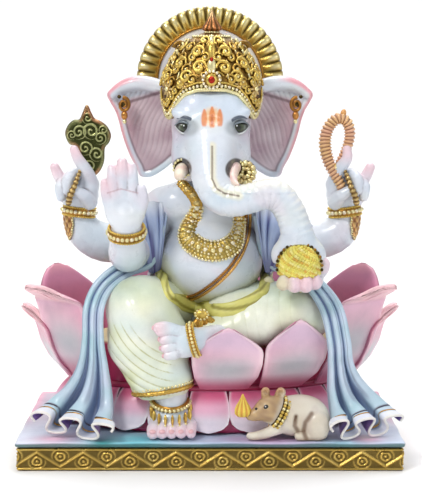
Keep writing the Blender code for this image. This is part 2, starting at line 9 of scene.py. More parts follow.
import math
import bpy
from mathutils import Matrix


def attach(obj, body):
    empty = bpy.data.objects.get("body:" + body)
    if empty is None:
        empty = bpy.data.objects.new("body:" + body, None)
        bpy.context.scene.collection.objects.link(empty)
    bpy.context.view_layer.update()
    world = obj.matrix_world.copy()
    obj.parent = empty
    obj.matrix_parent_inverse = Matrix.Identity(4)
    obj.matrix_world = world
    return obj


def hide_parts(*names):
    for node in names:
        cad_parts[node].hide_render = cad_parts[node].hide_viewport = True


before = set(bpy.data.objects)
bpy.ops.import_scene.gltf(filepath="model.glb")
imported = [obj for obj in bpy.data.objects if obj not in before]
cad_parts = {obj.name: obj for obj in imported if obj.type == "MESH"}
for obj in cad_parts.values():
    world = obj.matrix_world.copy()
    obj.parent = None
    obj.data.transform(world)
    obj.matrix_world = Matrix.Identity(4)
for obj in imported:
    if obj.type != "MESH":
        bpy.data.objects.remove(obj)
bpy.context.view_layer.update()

from concurrent.futures import ThreadPoolExecutor

import bpy
import numpy as np
from mathutils import Vector

MM = 0.001
# Where the pieces on the slab and on the seat begin, a cement joint above the stone below them.
ON_SLAB = 28.7
ON_SEAT = 112.7


# ---------------------------------------------------------------- colours

def rgb(red, green, blue):
    """A colour given as 0 to 255, as the linear values that the shaders use."""
    share = np.array((red, green, blue), float) / 255.0
    return np.where(share <= 0.04045, share / 12.92, ((share + 0.055) / 1.055) ** 2.4)


MARBLE = rgb(226, 230, 236)
MARBLE_SHADE = rgb(206, 214, 226)
BLUSH = rgb(236, 198, 206)
GOLD = rgb(222, 190, 98)
GOLD_PALE = rgb(244, 232, 176)
GOLD_DEEP = rgb(186, 138, 60)
GOLD_DARK = rgb(72, 58, 26)
COPPER = rgb(214, 138, 84)
PEARL = rgb(246, 236, 208)
PINK = rgb(232, 150, 176)
PINK_PALE = rgb(244, 208, 222)
MAGENTA = rgb(178, 44, 92)
CREAM = rgb(238, 240, 222)
OLIVE = rgb(168, 166, 78)
SASH = rgb(204, 202, 112)
LILAC = rgb(200, 212, 230)
FOLD_SHADE_BLUE = rgb(84, 108, 150)
VIOLET = rgb(116, 98, 168)
HEM_WHITE = rgb(236, 232, 226)
TEAL = rgb(20, 84, 78)
EAR_GREY = rgb(206, 188, 194)
EAR_FOLD_SHADE = rgb(130, 84, 96)
SWEET = rgb(224, 212, 96)
MOUSE_BROWN = rgb(150, 108, 60)
INK = rgb(34, 30, 28)


def mix(a, b, share):
    """From a to b by a share, which may be one number or one for each row."""
    share = np.clip(share, 0.0, 1.0)
    return a + (b - a) * (share[:, None] if np.ndim(share) else share)


def step_up(value, low, high):
    """0 below low, 1 above high, and smooth between."""
    t = np.clip((value - low) / (high - low), 0.0, 1.0)
    return t * t * (3.0 - 2.0 * t)


def cloud(p, scale, seed):
    """A soft random field about -1 to 1 with lumps of that size, the same on each run."""
    rng = np.random.default_rng(seed)
    total = np.zeros(len(p))
    for _ in range(7):
        way = rng.normal(size=3)
        way = way / np.linalg.norm(way)
        wave = 2 * math.pi / (scale * rng.uniform(0.7, 1.6))
        total += np.sin(p @ way * wave + rng.uniform(0, 6.28) + 1.3 * np.sin(p[:, 2] * wave * 0.6))
    return total / 4.0


# ---------------------------------------------------------------- signed distances

def ball(p, centre, radii, tilt=0.0):
    """An ellipsoid, tilted in degrees about Y."""
    q = p - np.array(centre, np.float32)
    if tilt:
        c, s = math.cos(math.radians(tilt)), math.sin(math.radians(tilt))
        q = np.stack((c * q[:, 0] + s * q[:, 2], q[:, 1], -s * q[:, 0] + c * q[:, 2]), axis=1)
    radii = np.array(radii, np.float32) * np.ones(3, np.float32)
    a = np.sqrt(((q / radii) ** 2).sum(axis=1))
    b = np.sqrt(((q / (radii * radii)) ** 2).sum(axis=1))
    return a * (a - 1.0) / np.maximum(b, 1e-9)


def unit(ways):
    """Each row as a direction of length 1."""
    return ways / np.linalg.norm(ways, axis=1)[:, None]


def run_along(points):
    """How far along the line each point lies, from 0 at its start."""
    return np.concatenate(([0], np.cumsum(np.linalg.norm(np.diff(points, axis=0), axis=1))))


def spline(stations, count):
    """Points along a smooth curve through the stations, with any further values carried along."""
    s = np.array(stations, float)
    padded = np.vstack((2 * s[0] - s[1], s, 2 * s[-1] - s[-2]))
    at = np.linspace(0, len(s) - 1, count)
    i = np.minimum(at.astype(int), len(s) - 2)
    t = (at - i)[:, None]
    a, b, c, d = padded[i], padded[i + 1], padded[i + 2], padded[i + 3]
    return 0.5 * (2 * b + (c - a) * t + (2 * a - 5 * b + 4 * c - d) * t * t
                  + (3 * b - a - 3 * c + d) * t ** 3)


def limb(p, stations, steps=3):
    """A smooth limb through (x, y, z, radius) stations."""
    points = spline(stations, (len(stations) - 1) * steps + 1).astype(np.float32)
    nearest = np.full(len(p), 1e9, np.float32)
    for a, b in zip(points, points[1:]):
        way = b[:3] - a[:3]
        q = p - a[:3]
        t = np.clip(q @ (way / max(way @ way, 1e-6)), 0.0, 1.0)
        gap = np.sqrt(((q - t[:, None] * way) ** 2).sum(axis=1)) - (a[3] + t * (b[3] - a[3]))
        nearest = np.minimum(nearest, gap)
    return nearest


def close_by(p, centre, radius, shape):
    """Reads a shape only near its ball. Further off, the distance to the ball stands in for it."""
    away = np.sqrt(((p - np.array(centre, np.float32)) ** 2).sum(axis=1)) - radius
    value = away + 10.0
    near = away < 14.0
    if near.any():
        value[near] = shape(p[near])
    return value


def line_gap(p, points):
    """The distance from each point to a polyline, in the same number of dimensions."""
    nearest = np.full(len(p), 1e9)
    points = np.array(points, float)
    for a, b in zip(points, points[1:]):
        way = b - a
        t = np.clip((p - a) @ way / max(way @ way, 1e-9), 0.0, 1.0)
        nearest = np.minimum(nearest, np.linalg.norm(p - (a + t[:, None] * way), axis=1))
    return nearest


def join(a, b, soft):
    """The union, with the crease between filled over that many millimetres."""
    h = np.maximum(soft - np.abs(a - b), 0.0) / soft
    return np.minimum(a, b) - h * h * soft * 0.25


def carve(a, b, soft):
    """a with b taken out of it, and the edge rounded."""
    return -join(-a, b, soft)


def box_gap(p, low, high, rounding):
    """Signed distance to a box with rounded edges."""
    low, high = np.array(low, float), np.array(high, float)
    q = np.abs(p - (low + high) / 2) - (high - low) / 2 + rounding
    return np.linalg.norm(np.maximum(q, 0), axis=1) + np.minimum(q.max(axis=1), 0) - rounding


def outline_gap(xz, outline):
    """Signed distance in a plane to a closed outline, negative inside."""
    points = np.array(outline, float)
    loop = np.vstack((points, points[:1]))
    gap = line_gap(xz, loop)
    inside = np.zeros(len(xz), bool)
    for (x1, z1), (x2, z2) in zip(loop, loop[1:]):
        spans = (z1 > xz[:, 1]) != (z2 > xz[:, 1])
        cross = (x2 - x1) * (xz[:, 1] - z1) / (z2 - z1 if z2 != z1 else 1e-9) + x1
        inside ^= spans & (xz[:, 0] < cross)
    return np.where(inside, -gap, gap)


# ---------------------------------------------------------------- meshes

QUICK_COARSER, CHUNK, THREADS = 1.7, 60000, 4


def sculpt(field, low, high, voxel):
    """The zero surface of a field inside a box, as points and quads. Far off, the field is read coarsely."""
    block = 4
    voxel = voxel * 1.0
    low, high = np.array(low, float), np.array(high, float)
    blocks = np.ceil((high - low) / (voxel * block)).astype(int) + 1
    centres = np.stack(np.meshgrid(*(np.arange(n) for n in blocks), indexing="ij"), axis=-1).reshape(-1, 3)
    centres = (low + (centres + 0.5) * voxel * block - voxel / 2).astype(np.float32)
    coarse = field(centres).reshape(blocks)
    values = coarse.repeat(block, 0).repeat(block, 1).repeat(block, 2)
    near = np.abs(values) < voxel * block * 1.5 + 1.0
    index = np.argwhere(near)
    chunks = np.array_split(index, max(1, len(index) // CHUNK))
    with ThreadPoolExecutor(THREADS) as pool:
        parts = pool.map(lambda chunk: field((low + chunk * voxel).astype(np.float32)), chunks)
    values[near] = np.concatenate(list(parts))
    return surface_net(values, low, voxel)


def surface_net(values, low, voxel):
    """One point in each cell that the surface passes through, and a quad round each crossed grid edge."""
    inside = values < 0
    corners = [(i, j, k) for i in (0, 1) for j in (0, 1) for k in (0, 1)]
    shape = tuple(n - 1 for n in values.shape)
    count = np.zeros(shape, np.int8)
    for i, j, k in corners:
        count += inside[i:shape[0] + i, j:shape[1] + j, k:shape[2] + k]
    active = (count > 0) & (count < 8)
    cells = np.argwhere(active)
    number = np.full(shape, -1, np.int64)
    number[active] = np.arange(len(cells))
    total = np.zeros((len(cells), 3))
    crossings = np.zeros(len(cells))
    for corner in corners:
        for axis in range(3):
            if corner[axis]:
                continue
            a = values[tuple((cells + corner).T)]
            other = np.array(corner)
            other[axis] = 1
            b = values[tuple((cells + other).T)]
            crosses = (a < 0) != (b < 0)
            point = np.tile(np.array(corner, float), (len(cells), 1))
            point[:, axis] = a / np.where(crosses, a - b, 1.0)
            total += np.where(crosses[:, None], point, 0.0)
            crossings += crosses
    points = low + voxel * (cells + total / crossings[:, None])
    quads = []
    for axis in range(3):
        u, v = np.eye(3, dtype=int)[(axis + 1) % 3], np.eye(3, dtype=int)[(axis + 2) % 3]
        along = np.eye(3, dtype=int)[axis]
        a = inside[tuple(slice(1, n - 1) if not along[i] else slice(0, n - 1)
                         for i, n in enumerate(values.shape))]
        b = inside[tuple(slice(1, n - 1) if not along[i] else slice(1, n)
                         for i, n in enumerate(values.shape))]
        offset = 1 - along
        for first, second, flip in ((a, b, False), (b, a, True)):
            edge = np.argwhere(first & ~second) + offset
            ring = [number[tuple((edge - step).T)] for step in (u + v, v, 0 * u, u)]
            quad = np.stack(ring[::-1] if flip else ring, axis=1)
            quads.append(quad[(quad >= 0).all(axis=1)])
    return points, np.concatenate(quads)


def neighbours_of(quads, total):
    """Each pair of neighbouring points, both ways round, and how many neighbours each point has."""
    ends = np.concatenate([quads[:, (i, (i + 1) % 4)] for i in range(4)])
    ends = np.concatenate((ends, ends[:, ::-1]))
    return ends, np.maximum(np.bincount(ends[:, 0], minlength=total), 1)[:, None]


def middles(points, ends, count):
    """The middle of each point's neighbours."""
    sums = [np.bincount(ends[:, 0], points[ends[:, 1], i], minlength=len(points)) for i in range(3)]
    return np.stack(sums, axis=1) / count


def smoothed(points, quads, rounds):
    """The points moved towards their neighbours' middle, and part of the way back so that nothing shrinks."""
    ends, count = neighbours_of(quads, len(points))
    for turn in range(2 * rounds):
        move = 0.5 if turn % 2 == 0 else -0.45
        points = points + move * (middles(points, ends, count) - points)
    return points


def wound_outwards(points, faces):
    """The faces, turned over if the form they close would be inside out."""
    a, b, c, d = (points[faces[:, k]] - points.mean(axis=0) for k in (0, 1, 2, -1))
    volume = (a * (np.cross(b, c) + np.cross(c, d))).sum()
    return faces if volume > 0 else faces[:, ::-1]


class Pile:
    """Points, faces and colours gathered into one mesh."""

    def __init__(self):
        self.points, self.faces, self.colours, self.count = [], [], [], 0

    def add(self, points, faces, colour):
        points = np.asarray(points, float)
        self.points.append(points)
        self.faces.append(wound_outwards(points, np.asarray(faces)) + self.count)
        colour = np.asarray(colour, float)
        self.colours.append(np.tile(colour, (len(points), 1)) if colour.ndim == 1 else colour)
        self.count += len(points)

    def mesh(self, name):
        points = np.concatenate(self.points) * MM
        mesh = bpy.data.meshes.new(name)
        mesh.vertices.add(len(points))
        mesh.vertices.foreach_set("co", points.ravel())
        loops = np.concatenate([faces.ravel() for faces in self.faces])
        sizes = np.concatenate([np.full(len(faces), faces.shape[1]) for faces in self.faces])
        mesh.loops.add(len(loops))
        mesh.loops.foreach_set("vertex_index", loops)
        mesh.polygons.add(len(sizes))
        mesh.polygons.foreach_set("loop_start", np.concatenate(([0], np.cumsum(sizes)[:-1])))
        mesh.update(calc_edges=True)
        mesh.validate()
        paint = mesh.color_attributes.new("paint", "FLOAT_COLOR", "POINT")
        colours = np.concatenate(self.colours)
        paint.data.foreach_set("color", np.hstack((np.clip(colours, 0, 1),
                                                   np.ones((len(colours), 1)))).ravel())
        mesh.shade_smooth()
        return mesh


def put(name, pile, finish, slot, *nodes):
    """Makes the piece, gives it its material and hides the nodes of the frame that it stands for."""
    obj = bpy.data.objects.new(name, pile.mesh(name))
    bpy.context.scene.collection.objects.link(obj)
    obj.data.materials.append(finish)
    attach(obj, "root")
    if nodes:
        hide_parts(*nodes)
    return obj


def normals_of(points, faces):
    """The mesh's outward direction at each point."""
    across = np.cross(points[faces[:, 2]] - points[faces[:, 0]], points[faces[:, 3]] - points[faces[:, 1]])
    total = np.stack([
        sum(np.bincount(faces[:, k], across[:, i], minlength=len(points)) for k in range(4)) for i in range(3)
    ], axis=1)
    return total / np.maximum(np.linalg.norm(total, axis=1), 1e-12)[:, None]


def hollows(points, faces):
    """How deep each point sits below its neighbours: above 0 in a groove, below 0 on a ridge."""
    ends, count = neighbours_of(faces, len(points))
    settled = points
    for _ in range(3):
        settled = middles(settled, ends, count)
    return ((settled - points) * normals_of(points, faces)).sum(axis=1)


def grid_faces(rows, columns, loop_rows=False, loop_columns=False):
    """Quads of a grid of rows x columns points, joined end to end where it loops."""
    r = np.arange(rows if loop_rows else rows - 1)
    c = np.arange(columns if loop_columns else columns - 1)
    r, c = (a.ravel() for a in np.meshgrid(r, c, indexing="ij"))
    r2, c2 = (r + 1) % rows, (c + 1) % columns
    return np.stack((r * columns + c, r * columns + c2, r2 * columns + c2, r2 * columns + c), axis=1)


def sphere(rows=6, columns=10):
    """A unit sphere of quads, whose poles are small rings."""
    lat = np.linspace(0.02, math.pi - 0.02, rows + 1)
    lon = np.linspace(0, 2 * math.pi, columns, endpoint=False)
    lat, lon = np.meshgrid(lat, lon, indexing="ij")
    points = np.stack((np.sin(lat) * np.cos(lon), np.sin(lat) * np.sin(lon), np.cos(lat)), axis=-1)
    return points.reshape(-1, 3), grid_faces(rows + 1, columns, loop_columns=True)[:, ::-1]


BEAD_POINTS, BEAD_FACES = sphere()


def add_bead(pile, centre, size, colour):
    """A small ball, or an upright ellipsoid where size is (x, y, z)."""
    pile.add(BEAD_POINTS * size + centre, BEAD_FACES, colour)


def add_beads(pile, centres, radii, colours):
    """A small ball at each centre. radii may be one number, one for each ball, or (x, y, z) for each."""
    for i, centre in enumerate(centres):
        radius = radii if np.ndim(radii) == 0 else radii[i]
        colour = colours if np.ndim(colours) == 1 else colours[i]
        add_bead(pile, centre, radius, colour)


def add_sweep(pile, stations, section, colour, sides=14, count=80, face=(0, -1, 0), closed=False):
    """A bar along a smooth path. section(s, turn) gives its width and height shares at s along it and each
    turn round it; the stations' fourth value is its radius; face is the way that its height points."""
    if closed:
        stations = [stations[-1], *stations, stations[0], stations[1]]
    path = spline(stations, count if not closed else count + 1)
    if closed:
        first = int(round(count / (len(stations) - 1)))
        path = spline(stations, (len(stations) - 1) * first + 1)[first:-2 * first]
    way = np.gradient(path[:, :3], axis=0)
    if closed:
        way = np.roll(path[:, :3], -1, axis=0) - np.roll(path[:, :3], 1, axis=0)
    way = unit(way)
    face = np.asarray(face(path[:, :3]) if callable(face) else np.tile(np.array(face, float), (len(path), 1)))
    side = np.cross(way, face)
    side = unit(side)
    up = np.cross(side, way)
    run = run_along(path[:, :3])
    turn = np.linspace(0, 2 * math.pi, sides, endpoint=False)
    s, t = np.meshgrid(run, turn, indexing="ij")
    wide, high = section(s, t)
    radius = path[:, 3][:, None]
    points = (path[:, None, :3] + side[:, None, :] * (wide * radius * np.cos(t))[..., None]
              + up[:, None, :] * (high * radius * np.sin(t))[..., None]).reshape(-1, 3)
    faces = grid_faces(len(path), sides, loop_rows=closed, loop_columns=True)
    tint = colour(s.ravel(), t.ravel(), points) if callable(colour) else colour
    if not closed:
        ends = np.array((path[0, :3], path[-1, :3]))
        last = len(points)
        points = np.vstack((points, ends))
        if np.ndim(tint) > 1:
            tint = np.vstack((tint, tint[:1], tint[-1:]))
        ring = np.arange(sides)
        start = np.stack((ring, np.full(sides, last), np.roll(ring, -1)), axis=1)
        base = (len(path) - 1) * sides
        stop = np.stack((base + ring, base + np.roll(ring, -1), np.full(sides, last + 1)), axis=1)
        pile.add(points, faces, tint)
        pile.faces.append(start + pile.count - len(points))
        pile.faces.append(stop + pile.count - len(points))
    else:
        pile.add(points, faces, tint)
    return path, up, run


def with_radius(points, radius, every):
    """Stations for a sweep: every so many of the points, each with the radius after it."""
    return np.column_stack((points, np.full(len(points), radius)))[::every]


def plain(s, t):
    """A round section."""
    return np.ones_like(s), np.ones_like(s)


def flattened(width, height=1.0):
    """An oval section with these even shares of the radius."""
    return lambda s, t: (width + 0 * s, height + 0 * s)


def twisted(depth, pitch, strands):
    """A round section with that many ridges winding along it."""
    return lambda s, t: (1 + depth * np.cos(s * pitch + strands * t),) * 2


def carved(field, paint, low, high, voxel, rounds=2):
    """A pile holding one sculpted, painted form."""
    points, quads = sculpt(field, low, high, voxel)
    points = smoothed(points, quads, rounds)
    pile = Pile()
    pile.add(points, quads, paint(points, normals_of(points, quads), hollows(points, quads)))
    return pile


# ---------------------------------------------------------------- materials

def link_noise(tree, coords, scale, detail=4.0, rough=0.6):
    noise = tree.nodes.new("ShaderNodeTexNoise")
    noise.inputs["Scale"].default_value = scale
    noise.inputs["Detail"].default_value = detail
    noise.inputs["Roughness"].default_value = rough
    tree.links.new(coords.outputs["Object"], noise.inputs["Vector"])
    return noise


def ramp(tree, source, low, high, a, b):
    node = tree.nodes.new("ShaderNodeMapRange")
    node.inputs["From Min"].default_value = low
    node.inputs["From Max"].default_value = high
    node.inputs["To Min"].default_value = a
    node.inputs["To Max"].default_value = b
    tree.links.new(source, node.inputs["Value"])
    return node.outputs["Result"]


def tinted(tree, base, other, factor, kind="MIX"):
    """The base colour mixed with another colour or socket by a factor socket."""
    node = tree.nodes.new("ShaderNodeMix")
    node.data_type = "RGBA"
    node.blend_type = kind
    tree.links.new(base, node.inputs[6])
    if isinstance(other, tuple):
        node.inputs[7].default_value = (*other, 1.0)
    else:
        tree.links.new(other, node.inputs[7])
    if isinstance(factor, float):
        node.inputs[0].default_value = factor
    else:
        tree.links.new(factor, node.inputs[0])
    return node.outputs[2]


def painted(name, roughness, metallic=0.0, coat=0.0, mottle=0.06, grain=0.0006, grain_scale=900.0, soft=0.0,
            wear=(0.9, 0.85, 0.8), worn=0.0, even=None):
    """Paint or leaf on stone: the piece's own colours, cloudy mottling, fine brush grain and worn specks."""
    made = bpy.data.materials.new(name)
    made.use_nodes = True
    tree = made.node_tree
    shader = tree.nodes["Principled BSDF"]
    coords = tree.nodes.new("ShaderNodeTexCoord")
    if even is None:
        paint = tree.nodes.new("ShaderNodeAttribute")
        paint.attribute_name = "paint"
    else:
        paint = tree.nodes.new("ShaderNodeRGB")
        paint.outputs["Color"].default_value = (*even, 1)
    clouds = link_noise(tree, coords, 55.0)
    shade = tinted(tree, paint.outputs["Color"], (1 - mottle * 2.2, 1 - mottle * 2.0, 1 - mottle * 1.6),
                   ramp(tree, clouds.outputs["Fac"], 0.45, 0.75, 0.0, 1.0), "MULTIPLY")
    fine = link_noise(tree, coords, grain_scale, 3.0)
    shade = tinted(tree, shade, (1 - mottle, 1 - mottle, 1 - mottle),
                   ramp(tree, fine.outputs["Fac"], 0.5, 0.8, 0.0, 1.0), "MULTIPLY")
    if worn:
        specks = link_noise(tree, coords, 260.0, 6.0, 0.7)
        shade = tinted(tree, shade, wear, ramp(tree, specks.outputs["Fac"], 0.66, 0.74, 0.0, worn))
    tree.links.new(shade, shader.inputs["Base Color"])
    gloss = ramp(tree, clouds.outputs["Fac"], 0.3, 0.7, roughness - 0.06, roughness + 0.08)
    tree.links.new(gloss, shader.inputs["Roughness"])
    bump = tree.nodes.new("ShaderNodeBump")
    bump.inputs["Strength"].default_value = 0.35
    bump.inputs["Distance"].default_value = grain
    tree.links.new(fine.outputs["Fac"], bump.inputs["Height"])
    tree.links.new(bump.outputs["Normal"], shader.inputs["Normal"])
    shader.inputs["Metallic"].default_value = metallic
    shader.inputs["Coat Weight"].default_value = coat
    shader.inputs["Coat Roughness"].default_value = 0.12
    if soft:
        shader.inputs["Subsurface Weight"].default_value = soft
        shader.inputs["Subsurface Radius"].default_value = (0.004, 0.0032, 0.003)
        shader.inputs["Subsurface Scale"].default_value = 1.0
    return made


STONE = painted("painted_marble", 0.30, coat=0.35, mottle=0.035, grain=0.0002, soft=0.12)
ENAMEL = painted("enamel_paint", 0.38, coat=0.25, mottle=0.05, grain=0.0003)
LEAF = painted("gold_leaf", 0.30, metallic=0.82, mottle=0.10, grain=0.0006, grain_scale=700.0,
               wear=(0.30, 0.20, 0.08), worn=0.45)
MATT = painted("grainy_paint", 0.6, mottle=0.12, grain=0.0010, grain_scale=600.0)
SAWN = painted("sawn_marble", 0.7, mottle=0.10, grain=0.0008, grain_scale=500.0, even=rgb(222, 220, 214))
STEEL = painted("turned_steel", 0.35, metallic=1.0, mottle=0.06, grain=0.0002, even=rgb(150, 154, 160))


# ---------------------------------------------------------------- the figure's body

ARM_RIGHT_FRONT = ((-50, -2, 238, 19), (-74, -22, 208, 20), (-80, -46, 200, 19), (-80, -62, 214, 17),
                   (-80, -72, 228, 14.5), (-80, -76, 238, 15))
ARM_LEFT_FRONT = ((50, -2, 238, 19), (76, -14, 214, 19), (88, -38, 197, 17), (88, -60, 188, 14.5),
                  (88, -74, 183, 13.5))
ARM_RIGHT_BACK = ((-44, 22, 228, 20), (-78, 22, 208, 21), (-106, 18, 203, 20), (-126, 14, 214, 18),
                  (-132, 12, 230, 14.5), (-132, 10, 240, 14.5))
ARM_LEFT_BACK = ((44, 22, 228, 20), (78, 22, 210, 21), (108, 18, 206, 20), (130, 14, 214, 18),
                 (136, 12, 230, 14.5), (136, 10, 240, 14.5))


def fingers(p, chains, soft=1.6):
    """Fingers side by side, with the grooves between them kept."""
    shape = limb(p, chains[0])
    for chain in chains[1:]:
        shape = join(shape, limb(p, chain), soft)
    return shape


def right_front_hand(p):
    """The raised palm: four fingers up, with the thumb laid along the palm's inner side."""
    palm = join(ball(p, (-81, -79, 252), (19.5, 9, 21)), ball(p, (-71, -82, 246), (9, 7.5, 17)), 6)
    palm = join(palm, ball(p, (-90, -81, 244), (9, 7, 14)), 5)
    palm = carve(palm, ball(p, (-81, -90, 252), (9, 4.5, 14)), 4)
    tips = fingers(p, (
        ((-97, -80, 254, 5.4), (-98.5, -82, 263, 5.3), (-99.5, -81, 271, 4.4)),
        ((-91, -81, 262, 5.8), (-92, -84, 274, 5.8), (-92.5, -82, 284.5, 4.8)),
        ((-82.5, -81, 264, 6), (-83, -85, 278, 6.0), (-83, -83, 290.5, 5.0)),
        ((-73.5, -81, 262, 5.8), (-73.5, -84, 275, 5.8), (-74, -82, 286, 4.8)),
    ))
    thumb = limb(p, ((-68, -82, 242, 6), (-63.5, -85, 254, 5.6), (-64.5, -86, 266, 4.4)))
    return join(join(palm, tips, 2.5), thumb, 2.0)


def left_front_hand(p):
    """The open palm under the sweets, its fingers curled up short in front and the thumb to the side."""
    palm = ball(p, (86, -86, 178), (22, 18, 9.5))
    tips = fingers(p, (
        ((70, -96, 177, 6.4), (68.5, -106, 178, 6.4), (69.5, -108.5, 181.5, 5.6)),
        ((80, -98, 175, 6.6), (79, -108.5, 177, 6.6), (79.5, -111.5, 181.5, 5.8)),
        ((90, -98, 175, 6.6), (90, -108.5, 177, 6.6), (90, -111.5, 181.5, 5.8)),
        ((99, -94, 177, 6.2), (99.5, -104, 178.5, 6.0), (99, -106.5, 182.5, 5.2)),
    ), 1.4)
    thumb = limb(p, ((100, -78, 183, 7.4), (106, -86, 189, 6.8), (107.5, -91, 195, 6.2)))
    return join(join(palm, tips, 3), thumb, 3)


def back_hand(p, side):
    """A hand that holds a stem in its folded fingers, with the first finger and the little one raised."""
    shift = 0 if side < 0 else 5
    x = side * (132 + shift)
    palm = join(ball(p, (x, 8, 252), (19, 13, 16)), ball(p, (x - side * 9, 3, 257), (10, 10, 16)), 6)
    first = limb(p, ((x - side * 13, 2, 264, 8), (x - side * 9, -6, 277, 6.6), (x - side * 1, -10, 290, 5.4),
                     (x + side * (3 if side < 0 else -1), -9, 299, 4.4)))
    little = limb(p, ((x + side * 13, 2, 262, 7), (x + side * 19, -1, 272, 5.8),
                      (x + side * 23, -3, 281, 4.8)))
    folded = fingers(p, (
        ((x + side * 3, -2, 274, 6.5), (x + side * 9, -11, 270, 6), (x + side * 10, -12, 259, 5)),
        ((x + side * 12, -1, 268, 6.5), (x + side * 17, -9, 262, 5.8), (x + side * 16, -10, 252, 5)),
    ), 1.2)
    thumb = limb(p, ((x - side * 12, -2, 246, 7.5), (x - side * 7, -10, 253, 6.2),
                     (x + side * 2, -13, 259, 5)))
    hand = join(join(palm, first, 4), little, 4)
    return join(join(hand, folded, 1.6), thumb, 2.2)


def torso_shape(p):
    chest = join(ball(p, (0, 0, 240), (47, 32, 30)), ball(p, (0, 2, 256), (34, 27, 15)), 10)
    for side in (-1, 1):
        chest = join(chest, ball(p, (side * 31, -14, 245), (23, 21, 21)), 11)
        chest = join(chest, ball(p, (side * 44, 2, 244), (19, 20, 18)), 8)
    belly = ball(p, (1.5, -18, 190), (51, 47, 45))
    navel = ball(p, (-6, -66, 172), (3, 4, 3.4))
    trunk = join(chest, belly, 9)
    trunk = carve(trunk, navel, 2.5)
    hips = join(ball(p, (0, 8, 144), (60, 42, 38)), ball(p, (0, 26, 190), (44, 26, 60)), 14)
    return join(trunk, hips, 8)


def body_field(p):
    shape = torso_shape(p)
    shape = join(shape, limb(p, ARM_RIGHT_BACK), 7)
    shape = join(shape, limb(p, ARM_LEFT_BACK), 7)
    shape = join(shape, limb(p, ARM_RIGHT_FRONT), 7)
    shape = join(shape, limb(p, ARM_LEFT_FRONT), 7)
    shape = join(shape, close_by(p, (-82, -80, 260), 38, right_front_hand), 5)
    shape = join(shape, close_by(p, (91, -90, 184), 32, left_front_hand), 5)
    shape = join(shape, close_by(p, (-138, 2, 270), 38, lambda q: back_hand(q, -1)), 5)
    shape = join(shape, close_by(p, (143, 2, 270), 38, lambda q: back_hand(q, 1)), 5)
    return np.maximum(shape, ON_SEAT - p[:, 2])


def stone_paint(p, n, hollow):
    """White marble under a cool wash, with faint blue, green and rose patches, and grey painted shade in the
    creases.
    """
    colour = mix(MARBLE, MARBLE_SHADE, 0.5 + 0.5 * cloud(p, 46, 3))
    colour = mix(colour, rgb(222, 224, 214), 0.35 * step_up(cloud(p, 60, 8), 0.2, 0.9))
    colour = mix(colour, rgb(194, 216, 228), 0.45 * step_up(cloud(p, 70, 12), 0.1, 0.9))
    colour = mix(colour, rgb(230, 212, 222), 0.35 * step_up(cloud(p, 54, 15), 0.2, 0.9))
    # Painted shade: grey in the shallow hollows, deepening to dark grey in the creases.
    colour = mix(colour, rgb(196, 196, 206), step_up(hollow, 0.03, 0.16) * 0.5)
    return mix(colour, rgb(122, 110, 118), step_up(hollow, 0.08, 0.4) * 0.85)


def body_paint(p, n, hollow):
    colour = stone_paint(p, n, hollow)
    tips = np.zeros(len(p))
    for centre in ((-84, -83, 290), (-98, -80, 270), (-133, -9, 300), (-155, -3, 282), (137, -9, 300),
                   (160, -3, 282), (112, -88, 200), (88, -110, 182)):
        tips = np.maximum(tips, 1 - step_up(np.linalg.norm(p - centre, axis=1), 4, 22))
    colour = mix(colour, BLUSH, 0.75 * tips)
    colour = mix(colour, BLUSH, 0.6 * (1 - step_up(line_gap(p[:, ::2], ((70, 176), (106, 176))), 6, 16))
                 * (p[:, 1] < -92))
    lines = line_gap(p[:, ::2], ((-97, 262), (-84, 266), (-68, 262)))
    palm_line = (1 - step_up(lines, 0.3, 1.0)) * (p[:, 1] < -84) * (n[:, 1] < -0.3)
    colour = mix(colour, rgb(170, 120, 130), 0.5 * palm_line)
    beside = 1 - step_up(line_gap(p[:, ::2], SASH_PATH), 5, 16)
    colour = mix(colour, rgb(214, 210, 140), 0.55 * beside * (p[:, 1] < -20))
    # Painted shade: the torso turns a little darker and bluer towards its back.
    under = step_up(p[:, 1], -30, 10) * (1 - step_up(np.abs(p[:, 0]), 52, 62))
    return mix(colour, MARBLE_SHADE, 0.2 * under)


def make_body():
    pile = carved(body_field, body_paint, (-162, -120, 110), (168, 56, 306), 0.95)
    put("figure_body", pile, STONE, "white_marble", "torso", "arm_right_front", "arm_left_front",
        "arm_right_back", "arm_left_back")


# ---------------------------------------------------------------- head, trunk and ears

TRUNK = ((1, -50, 308, 25), (1, -60, 292, 21.5), (2, -72, 274, 18.5), (9, -82, 259, 16.5),
         (22, -88, 254, 14.6),
         (38, -90, 257, 14.0), (54, -89, 261, 14.2), (66, -88, 257, 14.6), (75, -88, 245, 14.6),
         (80, -89, 232, 14.8), (83, -89, 220, 16))
TRUNK_LINE = ((2, 306), (2, 290), (2, 276), (6, 267), (14, 262.5), (27, 260.5))


# The middle between the eyes, and how far each stands from it.
EYES_X, EYES_APART = 2.0, 25.6


